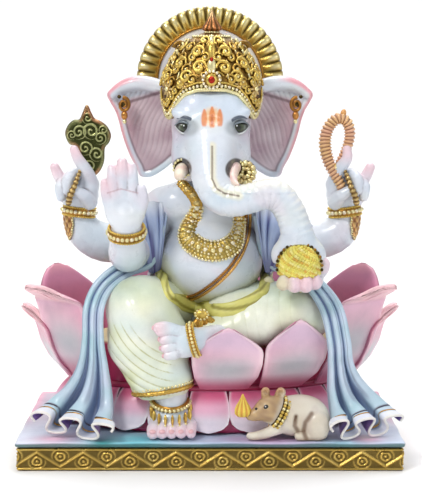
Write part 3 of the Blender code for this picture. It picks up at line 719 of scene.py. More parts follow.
def head_field(p):
    skull = join(ball(p, (1, -10, 326), (39, 40, 42)), ball(p, (1, -22, 306), (33, 34, 34)), 14)
    for side in (-1, 1):
        skull = join(skull, ball(p, (1 + side * 14, -36, 341), (17, 15, 17)), 14)
        skull = join(skull, ball(p, (1 + side * 21, -30, 292), (17.5, 23, 23)), 11)
        skull = join(skull, ball(p, (1 + side * 22, -46, 288), (10, 12, 12)), 8)
        skull = join(skull, ball(p, (1 + side * 26, -40, 333.5), (13, 12, 6.5), tilt=side * 22), 7)
        skull = carve(skull, ball(p, (1 + side * 26, -54, 322.5), (10.5, 7, 6.2), tilt=side * 12), 5)
    skull = join(skull, ball(p, (1, 8, 296), (33, 32, 36)), 12)
    skull = join(skull, limb(p, ((0, 12, 322, 20), (0, 33, 330, 15))), 8)
    way = limb(p, TRUNK, 4)
    rings = 0.28 * np.cos(trunk_run(p) * 2 * math.pi / 6.5)
    way = way + rings * step_up(trunk_run(p), 40, 80)
    shape = join(skull, way, 11)
    mouth = ball(p, (6, -60, 262), (16, 14, 7))
    shape = carve(shape, mouth, 3)
    way = join(way, ball(p, (84, -87, 203), (26, 19, 20)), 7)
    way = carve(way, ball(p, (84, -99, 192), (22.2, 20, 23)), 2.5)
    way = np.maximum(way, 190.0 + 0.25 * np.abs(p[:, 0] - 84) - p[:, 2])
    shape = join(shape, way, 2)
    return np.minimum(np.maximum(shape, 263.0 - p[:, 2]), way)


def trunk_run(p):
    """How far along the trunk each point lies, measured at its nearest station."""
    path = spline(TRUNK, 41)[:, :3]
    run = run_along(path)
    best = np.full(len(p), 1e9)
    where = np.zeros(len(p))
    for k in range(len(path) - 1):
        way = path[k + 1] - path[k]
        t = np.clip((p - path[k]) @ way / (way @ way), 0, 1)
        gap = np.linalg.norm(p - (path[k] + t[:, None] * way), axis=1)
        closer = gap < best
        best = np.where(closer, gap, best)
        where = np.where(closer, run[k] + t * (run[k + 1] - run[k]), where)
    return where


def flame(x, z, centre, half_width, low, high):
    """A share of 1 inside one painted flame that narrows to its top."""
    t = np.clip((z - low) / (high - low), 0, 1)
    width = half_width * np.sin(math.pi * np.clip(0.18 + 0.82 * t, 0, 1)) ** 0.8
    inside = 1 - step_up(np.abs(x - centre), width * 0.55, width + 0.4)
    return inside * step_up(z, low - 1, low + 1.5) * (1 - step_up(z, high - 1.5, high))


def head_paint(p, n, hollow):
    colour = stone_paint(p, n, hollow)
    x, z = p[:, 0], p[:, 2]
    front = n[:, 1] < -0.2
    colour = mix(colour, rgb(206, 222, 238), 0.55 * step_up(z, 318, 345) * front)
    colour = mix(colour, rgb(222, 206, 236), 0.35 * step_up(x, -12, -30) * step_up(z, 300, 280) * front)
    way = trunk_run(p)
    # Painted highlight: the trunk's upward-facing surfaces turn lighter and creamier.
    trunk_top_highlight = step_up(way, 60, 90) * step_up(n[:, 2], 0.2, 0.9)
    colour = mix(colour, rgb(246, 240, 214), 0.5 * trunk_top_highlight)
    line = line_gap(p[:, ::2], TRUNK_LINE)
    colour = mix(colour, rgb(240, 230, 190), 0.6 * (1 - step_up(line, 1.5, 6)) * front * (x > 0))
    colour = mix(colour, rgb(122, 108, 96), 0.9 * (1 - step_up(line, 0.4, 1.3)) * front * (z < 306.5))
    mark = np.zeros(len(p))
    for centre, wide, low, high in ((-5.5, 3.4, 324, 341), (2, 3.8, 323, 343.5), (9.5, 3.4, 324, 341)):
        mark = np.maximum(mark, flame(x, z, centre, wide, low, high))
    glow = 1 - step_up(np.hypot((x - 2) / 11.5, (z - 333) / 11.0), 0.5, 1.05)
    colour = mix(colour, rgb(244, 196, 130), 0.75 * glow * front)
    colour = mix(colour, rgb(222, 124, 50), 0.85 * mark * front)
    colour = mix(colour, rgb(178, 84, 24), 0.8 * flame(x, z, 2, 1.4, 325, 336) * front)
    for side in (-1, 1):
        gap = line_gap(p[:, ::2], ((1 + side * 20, 326), (1 + side * 27, 330), (1 + side * 34, 327)))
        colour = mix(colour, rgb(196, 204, 214), 0.7 * (1 - step_up(gap, 0.5, 3.5)) * front)
        # Painted shade in the eye sockets.
        socket_shade = 1 - step_up(np.hypot((x - (EYES_X + side * EYES_APART)) / 13, (z - 323) / 8.5), 0.75, 1.25)
        colour = mix(colour, rgb(120, 128, 128), 0.5 * socket_shade * front)
        # A painted shadow ring on the face round each tusk's root.
        root = np.hypot(x - (-27 if side < 0 else 24), z - 284)
        colour = mix(colour, rgb(52, 40, 34), 0.92 * (1 - step_up(root, 8.6, 10.4)) * front)
        temple = 1 - step_up(np.hypot(x - (1 + side * 38), z - 318), 4, 18)
        colour = mix(colour, rgb(214, 190, 214), 0.35 * temple * front)
    return colour


def make_head():
    pile = carved(head_field, head_paint, (-56, -112, 184), (112, 52, 372), 0.8, rounds=2)
    put("figure_head", pile, STONE, "white_marble", "head", "trunk")
    make_eyes()
    make_tusks()


def make_eyes():
    """Almond eyes painted dark with an olive ring, set under heavy slanting lids."""
    pile = Pile()
    points, faces = sphere(18, 36)
    for side in (-1, 1):
        centre = np.array((EYES_X + side * EYES_APART, -45.6, 322.3))
        almond = points * (9.4, 5.0, 6.0)
        almond[:, 2] *= 1 - 0.40 * (np.abs(points[:, 0]) ** 2.2)
        almond[:, 2] += side * 0.16 * almond[:, 0]
        gaze = np.hypot(almond[:, 0] * 0.9, almond[:, 2])
        colour = mix(rgb(150, 160, 150), rgb(70, 80, 56), 1 - step_up(gaze, 4.6, 6.0))
        colour = mix(colour, rgb(24, 26, 20), 1 - step_up(gaze, 2.2, 3.4))
        rim = np.hypot(almond[:, 0] / 9.4, almond[:, 2] / 5.4)
        colour = mix(colour, rgb(38, 38, 34), step_up(rim, 0.60, 0.80))
        pile.add(almond + centre, faces, colour)
        # A painted highlight: a small white glint on each eye.
        add_blob(pile, centre + (-1.6, -5.0, 1.9), (0.8, 0.5, 0.8), rgb(236, 240, 240))
    put("eyes", pile, ENAMEL, "white_marble")
    lids = Pile()
    for side in (-1, 1):
        x = EYES_X + side * EYES_APART
        upper = ((x - side * 10.5, -46.8, 319.2, 0.6), (x - side * 6, -50.0, 324.4, 1.1),
                 (x, -50.8, 327.4, 1.3),
                 (x + side * 5.5, -48.2, 327.8, 1.2), (x + side * 10.5, -42.5, 324.2, 0.6))
        lower = ((x - side * 9.5, -47.2, 318.9, 0.5), (x - side * 3, -50.2, 316.4, 0.9),
                 (x + side * 4, -49.0, 317.2, 0.9),
                 (x + side * 10, -43.0, 323, 0.5))
        add_sweep(lids, upper, plain, rgb(120, 130, 138), 8, 30)
        add_sweep(lids, lower, plain, rgb(206, 210, 210), 8, 24)
    put("eyelids", lids, STONE, "white_marble")
    brows = Pile()
    for side in (-1, 1):
        x = EYES_X + side * EYES_APART
        arc = ((x - side * 13, -50.4, 321.6, 0.4), (x - side * 8.5, -53.0, 327.4, 1.1),
               (x - side * 3, -53.6, 331.4, 1.6),
               (x + side * 3, -51.4, 332.6, 1.4), (x + side * 8.5, -46.8, 330.6, 0.4))
        add_sweep(brows, arc, flattened(1.0, 0.5), rgb(84, 94, 108), 8, 30)
    put("brows", brows, ENAMEL, "white_marble")


def make_tusks():
    """The right tusk is broken to a stub, with painted shadow round its root. The left one curves up whole
    from a gilt cuff.
    """
    def stub_paint(p, n, hollow):
        colour = mix(rgb(246, 236, 214), rgb(232, 196, 180), 0.4 + 0.4 * cloud(p, 12, 5))
        # Painted shadow: the stub goes dark where it enters its cuff.
        return mix(colour, rgb(70, 44, 40), step_up(p[:, 1], -60, -57))

    stub = ((-25, -50, 284, 7), (-27.5, -60, 281.5, 6.4), (-29, -70, 278.5, 5.6), (-29.5, -75, 277, 4.2))
    pile = carved(lambda p: limb(p, stub), stub_paint, (-40, -84, 266), (-14, -42, 296), 0.6)
    put("tusk_stub", pile, STONE, "white_marble", "tusk_right")

    whole = ((24, -50, 285, 7), (22.5, -62, 283, 6.4), (21, -74, 277, 5.4),
             (22.5, -82, 272, 4), (26, -88, 270, 2))

    def whole_paint(p, n, hollow):
        colour = mix(rgb(240, 220, 204), rgb(228, 190, 184), 0.5 + 0.5 * cloud(p, 14, 6))
        # Painted shadow: the tusk goes dark where it enters its cuff.
        return mix(colour, rgb(96, 66, 48), step_up(p[:, 1], -58, -54))

    pile = carved(lambda p: limb(p, whole), whole_paint, (8, -96, 262), (38, -42, 298), 0.6)
    put("tusk_whole", pile, STONE, "white_marble", "tusk_left")
    cuffs = Pile()
    for x in (-26.5, 23.5):
        angle = np.linspace(0, 2 * math.pi, 15, endpoint=False)
        ring = np.stack((x + 8.2 * np.cos(angle), -55.5 + 0 * angle, 283.5 + 8.2 * np.sin(angle)), axis=1)
        add_beads(cuffs, ring, 1.7, GOLD_PALE)
        inner = [(x + 7 * math.cos(a), -56, 283.5 + 7 * math.sin(a), 1.2) for a in np.linspace(0, 5.7, 12)]
        add_sweep(cuffs, inner, plain, GOLD_DARK, 8, 48, closed=True)
    for ring, count, size in ((4.0, 7, 2.6), (8.4, 12, 2.9)):
        for k in range(count):
            angle = 2 * math.pi * k / count
            centre = np.array((34 + ring * math.cos(angle), -52 - 0.2 * ring,
                               279 + 1.1 * ring * math.sin(angle)))
            add_bead(cuffs, centre, (size, 2.6, size), mix(GOLD_PALE, GOLD_DEEP, 0.2 * (k % 3)))
    add_blob(cuffs, (34, -46, 279), (11, 5, 12), GOLD_DARK)
    put("tusk_cuffs", cuffs, LEAF, "gold_leaf")


EAR = ((30, 340), (36, 352), (46, 361), (60, 367), (74, 368.5), (87, 365), (97, 359), (102, 353), (100, 346),
       (95, 337), (91.5, 327), (88, 313), (84, 301), (79.5, 290), (74, 280),
       (70, 271.5), (60, 271), (49, 277),
       (38, 286), (28, 298))


def ear_stripes(flat):
    """The fine wavy stripes that run down the inside of the ear, -1 to 1."""
    return np.sin((flat[:, 0] + 0.38 * (flat[:, 1] - 320) + 2 * np.sin(flat[:, 1] / 9)) * 2 * math.pi / 5.2)


def ear_field(side):
    """The fan of one ear, ribbed inside, with its upper edge rolled forward, and its outline."""
    outline = spline([(x, z) for x, z in (*EAR, EAR[0])], 90)[:-1]
    rim = spline([(30, 338), (33, 350), (44, 361), (60, 367), (75, 368), (88, 364), (98, 356.5)], 30)

    def field(p):
        flat = np.stack((side * p[:, 0], p[:, 2]), axis=1)
        gap = outline_gap(flat, outline)
        depth = 8 + 0.16 * (flat[:, 0] - 30) + 3.5 * np.sin((flat[:, 0] - 30) / 68 * math.pi)
        ripple = 0.3 * ear_stripes(flat) * step_up(-gap, 8, 14)
        sheet = np.abs(p[:, 1] - depth - ripple) - (3.2 - 0.9 * step_up(-gap, 2, 10))
        plate = np.maximum(sheet, gap + 0.5)
        rolled = np.full(len(p), 1e9)
        for a, b in zip(rim, rim[1:]):
            way = b - a
            t = np.clip((flat - a) @ way / (way @ way), 0, 1)
            off = flat - (a + t[:, None] * way)
            grow = 7.4 - 2.6 * np.clip((a[0] - 75) / 22, 0, 1)
            centre_y = depth - 4.5
            inward = np.hypot(off[:, 0], off[:, 1] + 3.6)
            rolled = np.minimum(rolled, np.hypot(inward, p[:, 1] - centre_y) - grow)
        edge = np.hypot(gap + 2.2, p[:, 1] - depth + 1.2) - 2.6
        shape = join(plate, rolled, 4)
        return join(shape, np.maximum(edge, -(flat[:, 0] - 34)), 2.5)

    return field, outline


def make_ears():
    for side, name in ((-1, "right"), (1, "left")):
        field, outline = ear_field(side)

        def paint(p, n, hollow, outline=outline, side=side):
            flat = np.stack((side * p[:, 0], p[:, 2]), axis=1)
            gap = -outline_gap(flat, outline)
            colour = stone_paint(p, n, hollow)
            top = step_up(flat[:, 1] + 0.30 * (flat[:, 0] - 60), 352, 358)
            inner = step_up(gap, 3.8, 7.5) * (n[:, 1] < 0.1) * (1 - top)
            stripe = ear_stripes(flat)
            skin = mix(EAR_GREY, rgb(176, 150, 160), 0.5 + 0.5 * cloud(p, 34, 4))
            skin = mix(skin, rgb(150, 116, 126), 0.34 * step_up(stripe, 0.1, 1.0)
                       * step_up(flat[:, 1], 272, 310))
            # Painted shade in the fold along the ear's inner edge, by the face.
            skin = mix(skin, EAR_FOLD_SHADE, 0.55 * (1 - step_up(gap, 5, 11)) * step_up(flat[:, 0], 60, 36))
            skin = mix(skin, rgb(206, 160, 172), 0.5 * step_up(flat[:, 0], 64, 88))
            colour = mix(colour, skin, inner)
            rim_line = (1 - step_up(np.abs(gap - 6.2), 0.4, 1.5)) * (n[:, 1] < 0) * (1 - top)
            colour = mix(colour, rgb(92, 62, 74), 0.55 * rim_line)
            colour = mix(colour, rgb(226, 140, 150), 0.8 * (1 - step_up(gap, 0.5, 4.0))
                         * step_up(flat[:, 0], 62, 86))
            # Painted shade under the rolled top rim.
            under = (1 - step_up(np.abs(flat[:, 1] + 0.30 * (flat[:, 0] - 60) - 352), 0.6, 2.4)) * (gap > 5)
            return mix(colour, rgb(96, 66, 76), 0.7 * under * (n[:, 1] < 0.3))

        low = (-106, -12, 264) if side < 0 else (22, -12, 264)
        high = (-22, 32, 376) if side < 0 else (106, 32, 376)
        pile = carved(field, paint, low, high, 0.8)
        put("ear_fan_" + name, pile, STONE, "white_marble", "ear_" + name)
        make_earring(side, name)


def make_earring(side, name):
    """A gilt ear drop: a coiled leaf with a bead heart, and a small bell under it."""
    pile = Pile()
    x, y = side * 86, 3
    coil = []
    for k in range(22):
        a = math.radians(80 + 27 * k)
        r = 7.4 - 0.27 * k
        coil.append((x + side * r * math.cos(a) * 0.8, y - 1.2 - 0.08 * k,
                     343 + r * math.sin(a), 2.0 - 0.045 * k))
    add_sweep(pile, coil, plain, mix(GOLD_DEEP, rgb(150, 90, 50), 0.5), 8, 90)
    add_blob(pile, (x, y - 1.5, 343), (2.6, 2.2, 2.8), GOLD_DARK)
    add_blob(pile, (x - side * 0.6, y - 1.5, 332.5), (3.4, 2.6, 4.6), mix(GOLD_DEEP, COPPER, 0.5))
    add_blob(pile, (x - side * 0.8, y - 1.8, 326.5), (2.0, 1.8, 2.4), GOLD_PALE)
    add_beads(pile, [(x + side * 4.5, y - 1, 351)], [2.0], GOLD_DARK)
    put("ear_drop_" + name, pile, LEAF, "gold_leaf", "earring_" + name)


# ---------------------------------------------------------------- laying things on surfaces

# How far outside its start a point's search begins, and how far inside it ends at most.
FURTHEST_OUT, DEEPEST_IN = 45.0, 40.0


def laid_on(field, points, outward, lift):
    """Each point brought in along its outward way until it stands that far off the field's surface."""
    points = np.array(points, float)
    outward = np.array(outward, float) * np.ones_like(points)
    outward = unit(outward)
    travel = np.full(len(points), -FURTHEST_OUT)
    for _ in range(40):
        at = points - travel[:, None] * outward
        gap = np.asarray(field(at.astype(np.float32)), float) - lift
        travel = np.minimum(travel + 0.8 * gap, DEEPEST_IN)
    return points - travel[:, None] * outward


def ring_on(field, centre, u, v, lift, first, count=48):
    """A loop round a limb, hugging its surface in the plane of u and v."""
    turn = np.linspace(0, 2 * math.pi, count, endpoint=False)
    way = np.cos(turn)[:, None] * np.array(u, float) + np.sin(turn)[:, None] * np.array(v, float)
    reach = np.full(count, first)
    for _ in range(30):
        at = np.array(centre, float) + reach[:, None] * way
        reach = reach - 0.6 * (np.asarray(field(at.astype(np.float32)), float) - lift)
    reach = 0.25 * (np.roll(reach, 1) + np.roll(reach, -1)) + 0.5 * reach
    return np.array(centre, float) + reach[:, None] * way, way


def spaced(points, gap, closed=False):
    """Points evenly spaced along a polyline, about gap apart."""
    points = np.array(points, float)
    if closed:
        points = np.vstack((points, points[:1]))
    run = run_along(points)
    count = max(2, int(round(run[-1] / gap)) + (0 if closed else 1))
    at = np.linspace(0, run[-1], count, endpoint=not closed)
    return np.stack([np.interp(at, run, points[:, i]) for i in range(points.shape[1])], axis=1)


def add_turned(pile, profile, centre, colour, lobes=0, depth=0.0, steps=48, squash=1.0):
    """A turned form of (radius, z) rows about an upright axis, with lobes round it if asked."""
    rows = np.array(profile, float)
    turn = np.linspace(0, 2 * math.pi, steps, endpoint=False)
    r, t = rows[:, 0][:, None], turn[None, :]
    lobe = np.cos(lobes * t) + 0 * r
    wave = 1 + depth * lobe
    x = centre[0] + r * wave * np.cos(t)
    y = centre[1] + squash * r * wave * np.sin(t)
    z = centre[2] + rows[:, 1][:, None] + 0 * t
    points = np.stack((x, y, z), axis=-1).reshape(-1, 3)
    if callable(colour):
        level = (rows[:, 1][:, None] + 0 * t).ravel()
        colour = colour(points, lobe.ravel(), level)
    pile.add(points, grid_faces(len(rows), steps, loop_columns=True)[:, ::-1], colour)


def sheet_places(rows, columns):
    """Places across a sheet, -1 to 1, as a row, and down it, 0 to 1, as a column."""
    return np.linspace(-1, 1, columns)[None, :], np.linspace(0, 1, rows)[:, None]


def add_sheet(pile, points, thickness, front, back=None, outward=(0, -1, 0)):
    """A closed sheet: a grid of points (rows, columns, 3) given a thickness, with a colour for each side. The
    front is the side that mostly faces outward, which may differ from point to point."""
    rows, columns = points.shape[:2]
    across = np.gradient(points, axis=1)
    down = np.gradient(points, axis=0)
    normal = np.cross(across, down)
    normal = normal / np.maximum(np.linalg.norm(normal, axis=-1), 1e-9)[..., None]
    if (normal * np.asarray(outward, float)).sum() < 0:
        normal = -normal
    half = 0.5 * np.broadcast_to(np.asarray(thickness, float), (rows, columns))[..., None]
    outer = (points + normal * half).reshape(-1, 3)
    inner = (points - normal * half).reshape(-1, 3)
    faces = grid_faces(rows, columns)
    total = rows * columns
    edge = np.concatenate((
        np.arange(columns), np.arange(1, rows) * columns + columns - 1,
        (rows - 1) * columns + np.arange(columns - 2, -1, -1), np.arange(rows - 2, 0, -1) * columns))
    after = np.roll(edge, -1)
    rim = np.stack((edge, edge + total, after + total, after), axis=1)
    front = np.broadcast_to(front, (total, 3))
    back = front if back is None else np.broadcast_to(back, (total, 3))
    pile.add(np.vstack((outer, inner)), np.vstack((faces[:, ::-1], faces + total, rim)),
             np.vstack((front, back)))


def add_blob(pile, centre, radii, colour, axis_z=(0, 0, 1), axis_x=(1, 0, 0)):
    """A ball stretched along its own axes."""
    z = np.array(axis_z, float) / np.linalg.norm(axis_z)
    x = np.array(axis_x, float) - np.dot(axis_x, z) * z
    x = x / np.linalg.norm(x)
    frame_axes = np.stack((x, np.cross(z, x), z))
    pile.add((BEAD_POINTS * np.array(radii, float)) @ frame_axes + centre, BEAD_FACES, colour)


# ---------------------------------------------------------------- crown and halo

CROWN_X, CROWN_Y, CROWN_SQUASH = 1.5, -6.0, 0.88
CROWN_PROFILE = np.array(((324, 43), (336, 46), (350, 48.5), (362, 49), (372, 47), (382, 42.5), (390, 38),
                          (399, 32), (406, 24), (411, 15), (414, 8)))
CROWN_HEM = np.array(((0, 357.5), (16, 357), (31, 353), (42, 345), (52, 336),
                      (64, 329.5), (74, 331), (84, 343),
                      (96, 352), (130, 350), (180, 350)))
RUBY = rgb(170, 44, 30)
SCROLL_TURNS, ROSETTE_PETALS = 1.35, 8


def on_crown(turn, z, lift=0.0):
    """The point of the crown at a turn from the front in degrees, and a height, raised by lift."""
    a = np.radians(turn)
    radius = np.interp(z, CROWN_PROFILE[:, 0], CROWN_PROFILE[:, 1]) + lift
    return np.stack((CROWN_X + radius * np.sin(a), CROWN_Y - CROWN_SQUASH * radius * np.cos(a), z + 0 * a),
                    axis=-1)


def crown_out(points):
    """The crown's outward direction near each point."""
    way = np.stack((points[:, 0] - CROWN_X, points[:, 1] - CROWN_Y,
                    0.5 * np.maximum(points[:, 2] - 366, 0)), axis=1)
    return unit(way)


def crown_hem(turn):
    return np.interp(np.abs((np.asarray(turn, float) + 180) % 360 - 180), CROWN_HEM[:, 0], CROWN_HEM[:, 1])


def add_scroll(pile, turn, z, size, hand, tilt=0.0, lift=1.6, stem=1.3, colour=GOLD):
    """A leaf scroll lying on the crown, with a bead in its eye."""
    a = np.linspace(0.6, SCROLL_TURNS * 2 * math.pi, 18)
    r = size * (0.14 + 0.86 * (a / a[-1]) ** 1.1)
    u, v = hand * r * np.cos(a), r * np.sin(a)
    c, s = math.cos(math.radians(tilt)), math.sin(math.radians(tilt))
    u, v = c * u - s * v, s * u + c * v
    radius = float(np.interp(z, CROWN_PROFILE[:, 0], CROWN_PROFILE[:, 1]))
    bulge = lift + 0.9 * (1 - r / size)
    points = on_crown(turn + np.degrees(u / radius), np.clip(z + v, 330, 414), bulge)
    thick = stem * (0.55 + 0.6 * np.sin(np.linspace(0.35, math.pi * 0.97, len(a))))
    add_sweep(pile, np.column_stack((points, thick)), plain, colour, 7, 40, face=crown_out)
    eye = on_crown(np.array([float(turn)]), np.array([float(z)]), lift + 0.6)[0]
    add_bead(pile, eye, 0.24 * size, GOLD_PALE)


def add_rosette(pile, turn, z, size, heart=GOLD_PALE):
    """A round flower on the crown."""
    radius = float(np.interp(z, CROWN_PROFILE[:, 0], CROWN_PROFILE[:, 1]))
    middle = on_crown(np.array([float(turn)]), np.array([float(z)]), 1.6)
    out = crown_out(middle)[0]
    for k in range(ROSETTE_PETALS):
        a = 2 * math.pi * k / ROSETTE_PETALS
        u, v = 0.62 * size * math.cos(a), 0.62 * size * math.sin(a)
        centre = on_crown(np.array([turn + math.degrees(u / radius)]), np.array([z + v]), 1.9)[0]
        away = centre - middle[0]
        add_blob(pile, centre, (0.24 * size, 0.2 * size, 0.44 * size),
                 mix(GOLD_DEEP, GOLD_PALE, 0.4), away, out)
    add_blob(pile, middle[0] + 1.6 * out, (0.34 * size, 0.34 * size, 0.26 * size), heart, out)


def make_crown():
    turn = np.linspace(-180, 180, 160, endpoint=False)
    share = np.linspace(0, 1, 44)[:, None]
    hem = crown_hem(turn)[None, :]
    z = hem + (414.0 - hem) * share
    shell = on_crown(turn[None, :] + 0 * share, z, 0.0)
    under = on_crown(turn[None, :], hem + 0.5, -4.5)
    inner = on_crown(turn[None, :], np.maximum(hem, 340.0) + 4, -30.0)
    grid = np.vstack((inner, under, shell))
    points = grid.reshape(-1, 3)
    pile = Pile()
    shade = mix(GOLD_DARK, GOLD_DEEP, 0.35 + 0.35 * cloud(points, 9, 11))
    pile.add(points, grid_faces(grid.shape[0], grid.shape[1], loop_columns=True), shade)
    whole = np.linspace(-180, 180, 220, endpoint=False)
    for rise, lift, thick, colour in ((1.2, 0.8, 1.9, GOLD_PALE), (8.2, 1.0, 1.0, GOLD)):
        edge = on_crown(whole, crown_hem(whole) + rise, lift)
        add_sweep(pile, with_radius(edge, thick, 2),
                  twisted(0.12, 2.6, 2), colour, 10, 660, face=crown_out, closed=True)
    row = spaced(on_crown(whole, crown_hem(whole) + 4.9, 1.2), 3.9, closed=True)
    add_beads(pile, row, 1.75, [PEARL if k % 2 else GOLD_PALE for k in range(len(row))])
    put("crown_border", pile, LEAF, "gold_leaf", "crown_band")

    scrolls = Pile()
    for z, count, size, offset in ((366.0, 24, 5.4, 0.5), (378.0, 22, 5.6, 0.0), (389.5, 20, 5.2, 0.5),
                                   (400.0, 18, 4.4, 0.0)):
        for k in range(count):
            at = (k + offset) * 360.0 / count
            hand = 1 if k % 2 else -1
            level = max(z, float(crown_hem(at)) + 13) if z < 370 else z
            add_scroll(scrolls, at, level, size, hand, tilt=hand * 35,
                       colour=mix(GOLD, GOLD_DEEP, 0.3 * ((k * 7) % 3)))
    for z, count, length in ((372.5, 24, 4.2), (384, 22, 4.0), (395, 20, 3.6), (405.5, 16, 3.2)):
        for k in range(count):
            at = np.array([(k + 0.25) * 360.0 / count])
            centre = on_crown(at, np.array([float(z)]), 1.4)
            out = crown_out(centre)[0]
            lean = np.array((0, 0, 1.0)) - 0.4 * out
            add_blob(scrolls, centre[0], (1.3, 1.0, length), mix(GOLD_PALE, GOLD_DEEP, 0.25 * (k % 3)),
                     lean, out)
    low = np.linspace(-70, 70, 23)
    for k, at in enumerate(low):
        level = float(crown_hem(at)) + 13.0
        if level < 362:
            add_scroll(scrolls, at, level + 2, 4.2, 1 if k % 2 else -1, tilt=20, stem=1.1)
    top = np.linspace(-180, 180, 60, endpoint=False)
    ring = on_crown(top, 410.0 + 0 * top, 1.4)
    add_beads(scrolls, spaced(ring, 3.1, closed=True), 1.45, GOLD_PALE)
    put("crown_filigree", scrolls, LEAF, "gold_leaf", "crown_dome")
    make_crest()


def make_crest():
    """The tall front plume of the crown, its side flowers and the curled horns."""
    crest = Pile()

    def spot(turn, z, lift):
        return on_crown(np.array([float(turn)]), np.array([float(z)]), lift)[0]

    for z, wide, tall, lift, colour in ((368, 6.2, 6.4, 3.4, GOLD), (368, 3.4, 3.6, 7.0, RUBY),
                                        (381, 4.6, 7.5, 3.6, GOLD_PALE), (396, 4.0, 9.0, 3.0, GOLD),
                                        (387, 2.0, 2.6, 6.6, RUBY), (406, 2.6, 6.0, 3.4, GOLD_PALE)):
        add_blob(crest, spot(0, z, lift), (wide, 2.6, tall), colour, (0, 0.25 if z > 392 else 0.05, 1),
                 (1, 0, 0))
    for k in range(14):
        a = 2 * math.pi * k / 14
        add_blob(crest, spot(0, 368, 3.2) + (8.2 * math.cos(a), -0.4, 8.2 * math.sin(a)),
                 (1.6, 1.6, 1.6), PEARL)
    for hand in (-1, 1):
        for turn, z, size, tilt, stem in ((15, 380, 7.0, 60, 1.9), (21, 395, 6.4, 80, 1.8),
                                          (15, 406, 4.6, 110, 1.4),
                                          (30, 371, 6.4, 30, 1.7), (43, 384, 6.6, 60, 1.7),
                                          (60, 372, 6.6, 40, 1.8)):
            add_scroll(crest, hand * turn, z, size, hand, tilt=hand * tilt, lift=3.0, stem=stem, colour=GOLD)
        add_rosette(crest, hand * 57, 359, 7.6)
        add_rosette(crest, hand * 33, 364, 5.2, heart=GOLD)
        horn = []
        for a in np.linspace(0, 2.3 * math.pi, 20):
            r = 6.4 * (1 - 0.11 * a)
            horn.append((CROWN_X + hand * (30.5 + r * math.cos(a)), -17,
                         399 + r * math.sin(a), 2.5 - 0.2 * a))
        add_sweep(crest, horn, plain, mix(GOLD_DARK, GOLD_DEEP, 0.45), 8, 60)
        for k in range(5):
            place = spot(hand * (70 - 3 * k), 372 + 7.2 * k, 1.8)
            add_blob(crest, place, (1.7, 2.0, 4.4), mix(GOLD, GOLD_PALE, 0.2 * k),
                     (hand * 0.55, 0, 1), (1, 0, 0))
    put("crown_crest", crest, LEAF, "gold_leaf")

    finial = Pile()
    spear = ((0.6, 436.5), (1.4, 434), (2.6, 430.5), (4.6, 426.5), (7.0, 422.5),
             (8.9, 419.6), (9.4, 418), (8.6, 416.4),
             (6.2, 415.4), (5.2, 414.4), (6.0, 413.2), (7.6, 412), (5, 410.5), (1, 410))

    def copper(points, wave, level):
        shade = mix(COPPER, GOLD_DARK, 0.45 - 0.45 * wave)
        return mix(shade, GOLD_PALE, 0.35 * step_up(level, 424, 434))

    add_turned(finial, [(r, z) for r, z in spear], (2, -6, 0), copper, lobes=10, depth=0.06, steps=80)
    ring = [(2 + 6.6 * math.cos(a), -6 + 6.6 * math.sin(a), 414.2) for a in np.linspace(0, 6.28, 17)[:-1]]
    add_beads(finial, ring, 1.4, GOLD_PALE)
    put("crown_spear", finial, LEAF, "copper_gold", "crown_finial")


HALO_Z = 367.0


def make_halo():
    """A ring of fluted rays with scalloped ends, a beaded rim and a plain disc."""
    flutes, fine = 46, 12
    turn = np.linspace(0, 2 * math.pi, flutes * fine, endpoint=False)
    groove = 1 - np.abs(np.cos(turn * flutes / 2)) ** 0.55
    rows = ((50, 53.8, 0), (62, 53.8, 0), (73, 53.8, 0.1), (75.0, 52.6, 0.3),
            (75.4, 50.0, 0.6), (75.2, 47.4, 0.9),
            (74.0, 45.2, 1.0), (71.5, 43.9, 1.0), (67, 43.3, 1.0), (62, 43.6, 1.0), (58.5, 44.6, 0.8),
            (56.2, 45.8, 0.4), (54.6, 46.6, 0), (53.6, 48, 0), (50, 49.5, 0))
    points, colours = [], []
    for r, y, ripple in rows:
        radius = r - 1.5 * ripple * groove * (r > 70)
        points.append(np.stack((radius * np.sin(turn), y + 2.9 * ripple * groove,
                                HALO_Z + radius * np.cos(turn)), axis=1))
        # Painted shade in the grooves between the flutes, and a painted highlight along the crests of the
        # outer rays.
        tone = mix(GOLD, GOLD_DARK, 1.35 * ripple * groove)
        tone = mix(tone, GOLD_PALE, 0.75 * (1 - step_up(groove, 0.0, 0.3)) * (65 < r < 76))
        colours.append(tone)
    pile = Pile()
    pile.add(np.concatenate(points), grid_faces(len(rows), len(turn), loop_rows=True, loop_columns=True),
             np.concatenate(colours))
    put("halo_rays", pile, LEAF, "gold_leaf", "halo_ray_ring")

    rim = Pile()
    circle = [(54.2 * math.sin(a), 45.8, HALO_Z + 54.2 * math.cos(a), 1.25)
              for a in np.linspace(0, 6.2832, 49)[:-1]]
    add_sweep(rim, circle, twisted(0.15, 2.2, 2), GOLD_DEEP, 8, 480, closed=True)
    put("halo_rim", rim, LEAF, "gold_leaf")

    disc = Pile()
    rows = ((0.5, 54), (30, 54), (53.6, 53.8), (54, 53), (54, 47.4), (53, 46.6),
            (50, 46.4), (40, 46.2), (20, 46.0), (0.5, 46.0))
    ring = np.linspace(0, 2 * math.pi, 96, endpoint=False)
    points = np.concatenate([np.stack((r * np.sin(ring), y + 0 * ring, HALO_Z + r * np.cos(ring)), axis=1)
                             for r, y in rows])
    tone = mix(rgb(244, 238, 222), rgb(226, 226, 232), 0.5 + 0.5 * cloud(points, 50, 9))
    disc.add(points, grid_faces(len(rows), 96, loop_columns=True), tone)
    put("halo_plate", disc, STONE, "halo_marble", "halo_disc")


# ---------------------------------------------------------------- dhoti and feet

def folds(distance, spacing, depth):
    """Rounded ridges with narrow valleys between, as a height to add to a surface."""
    return depth * (np.abs(np.sin(distance * math.pi / spacing)) ** 0.6 - 0.62)


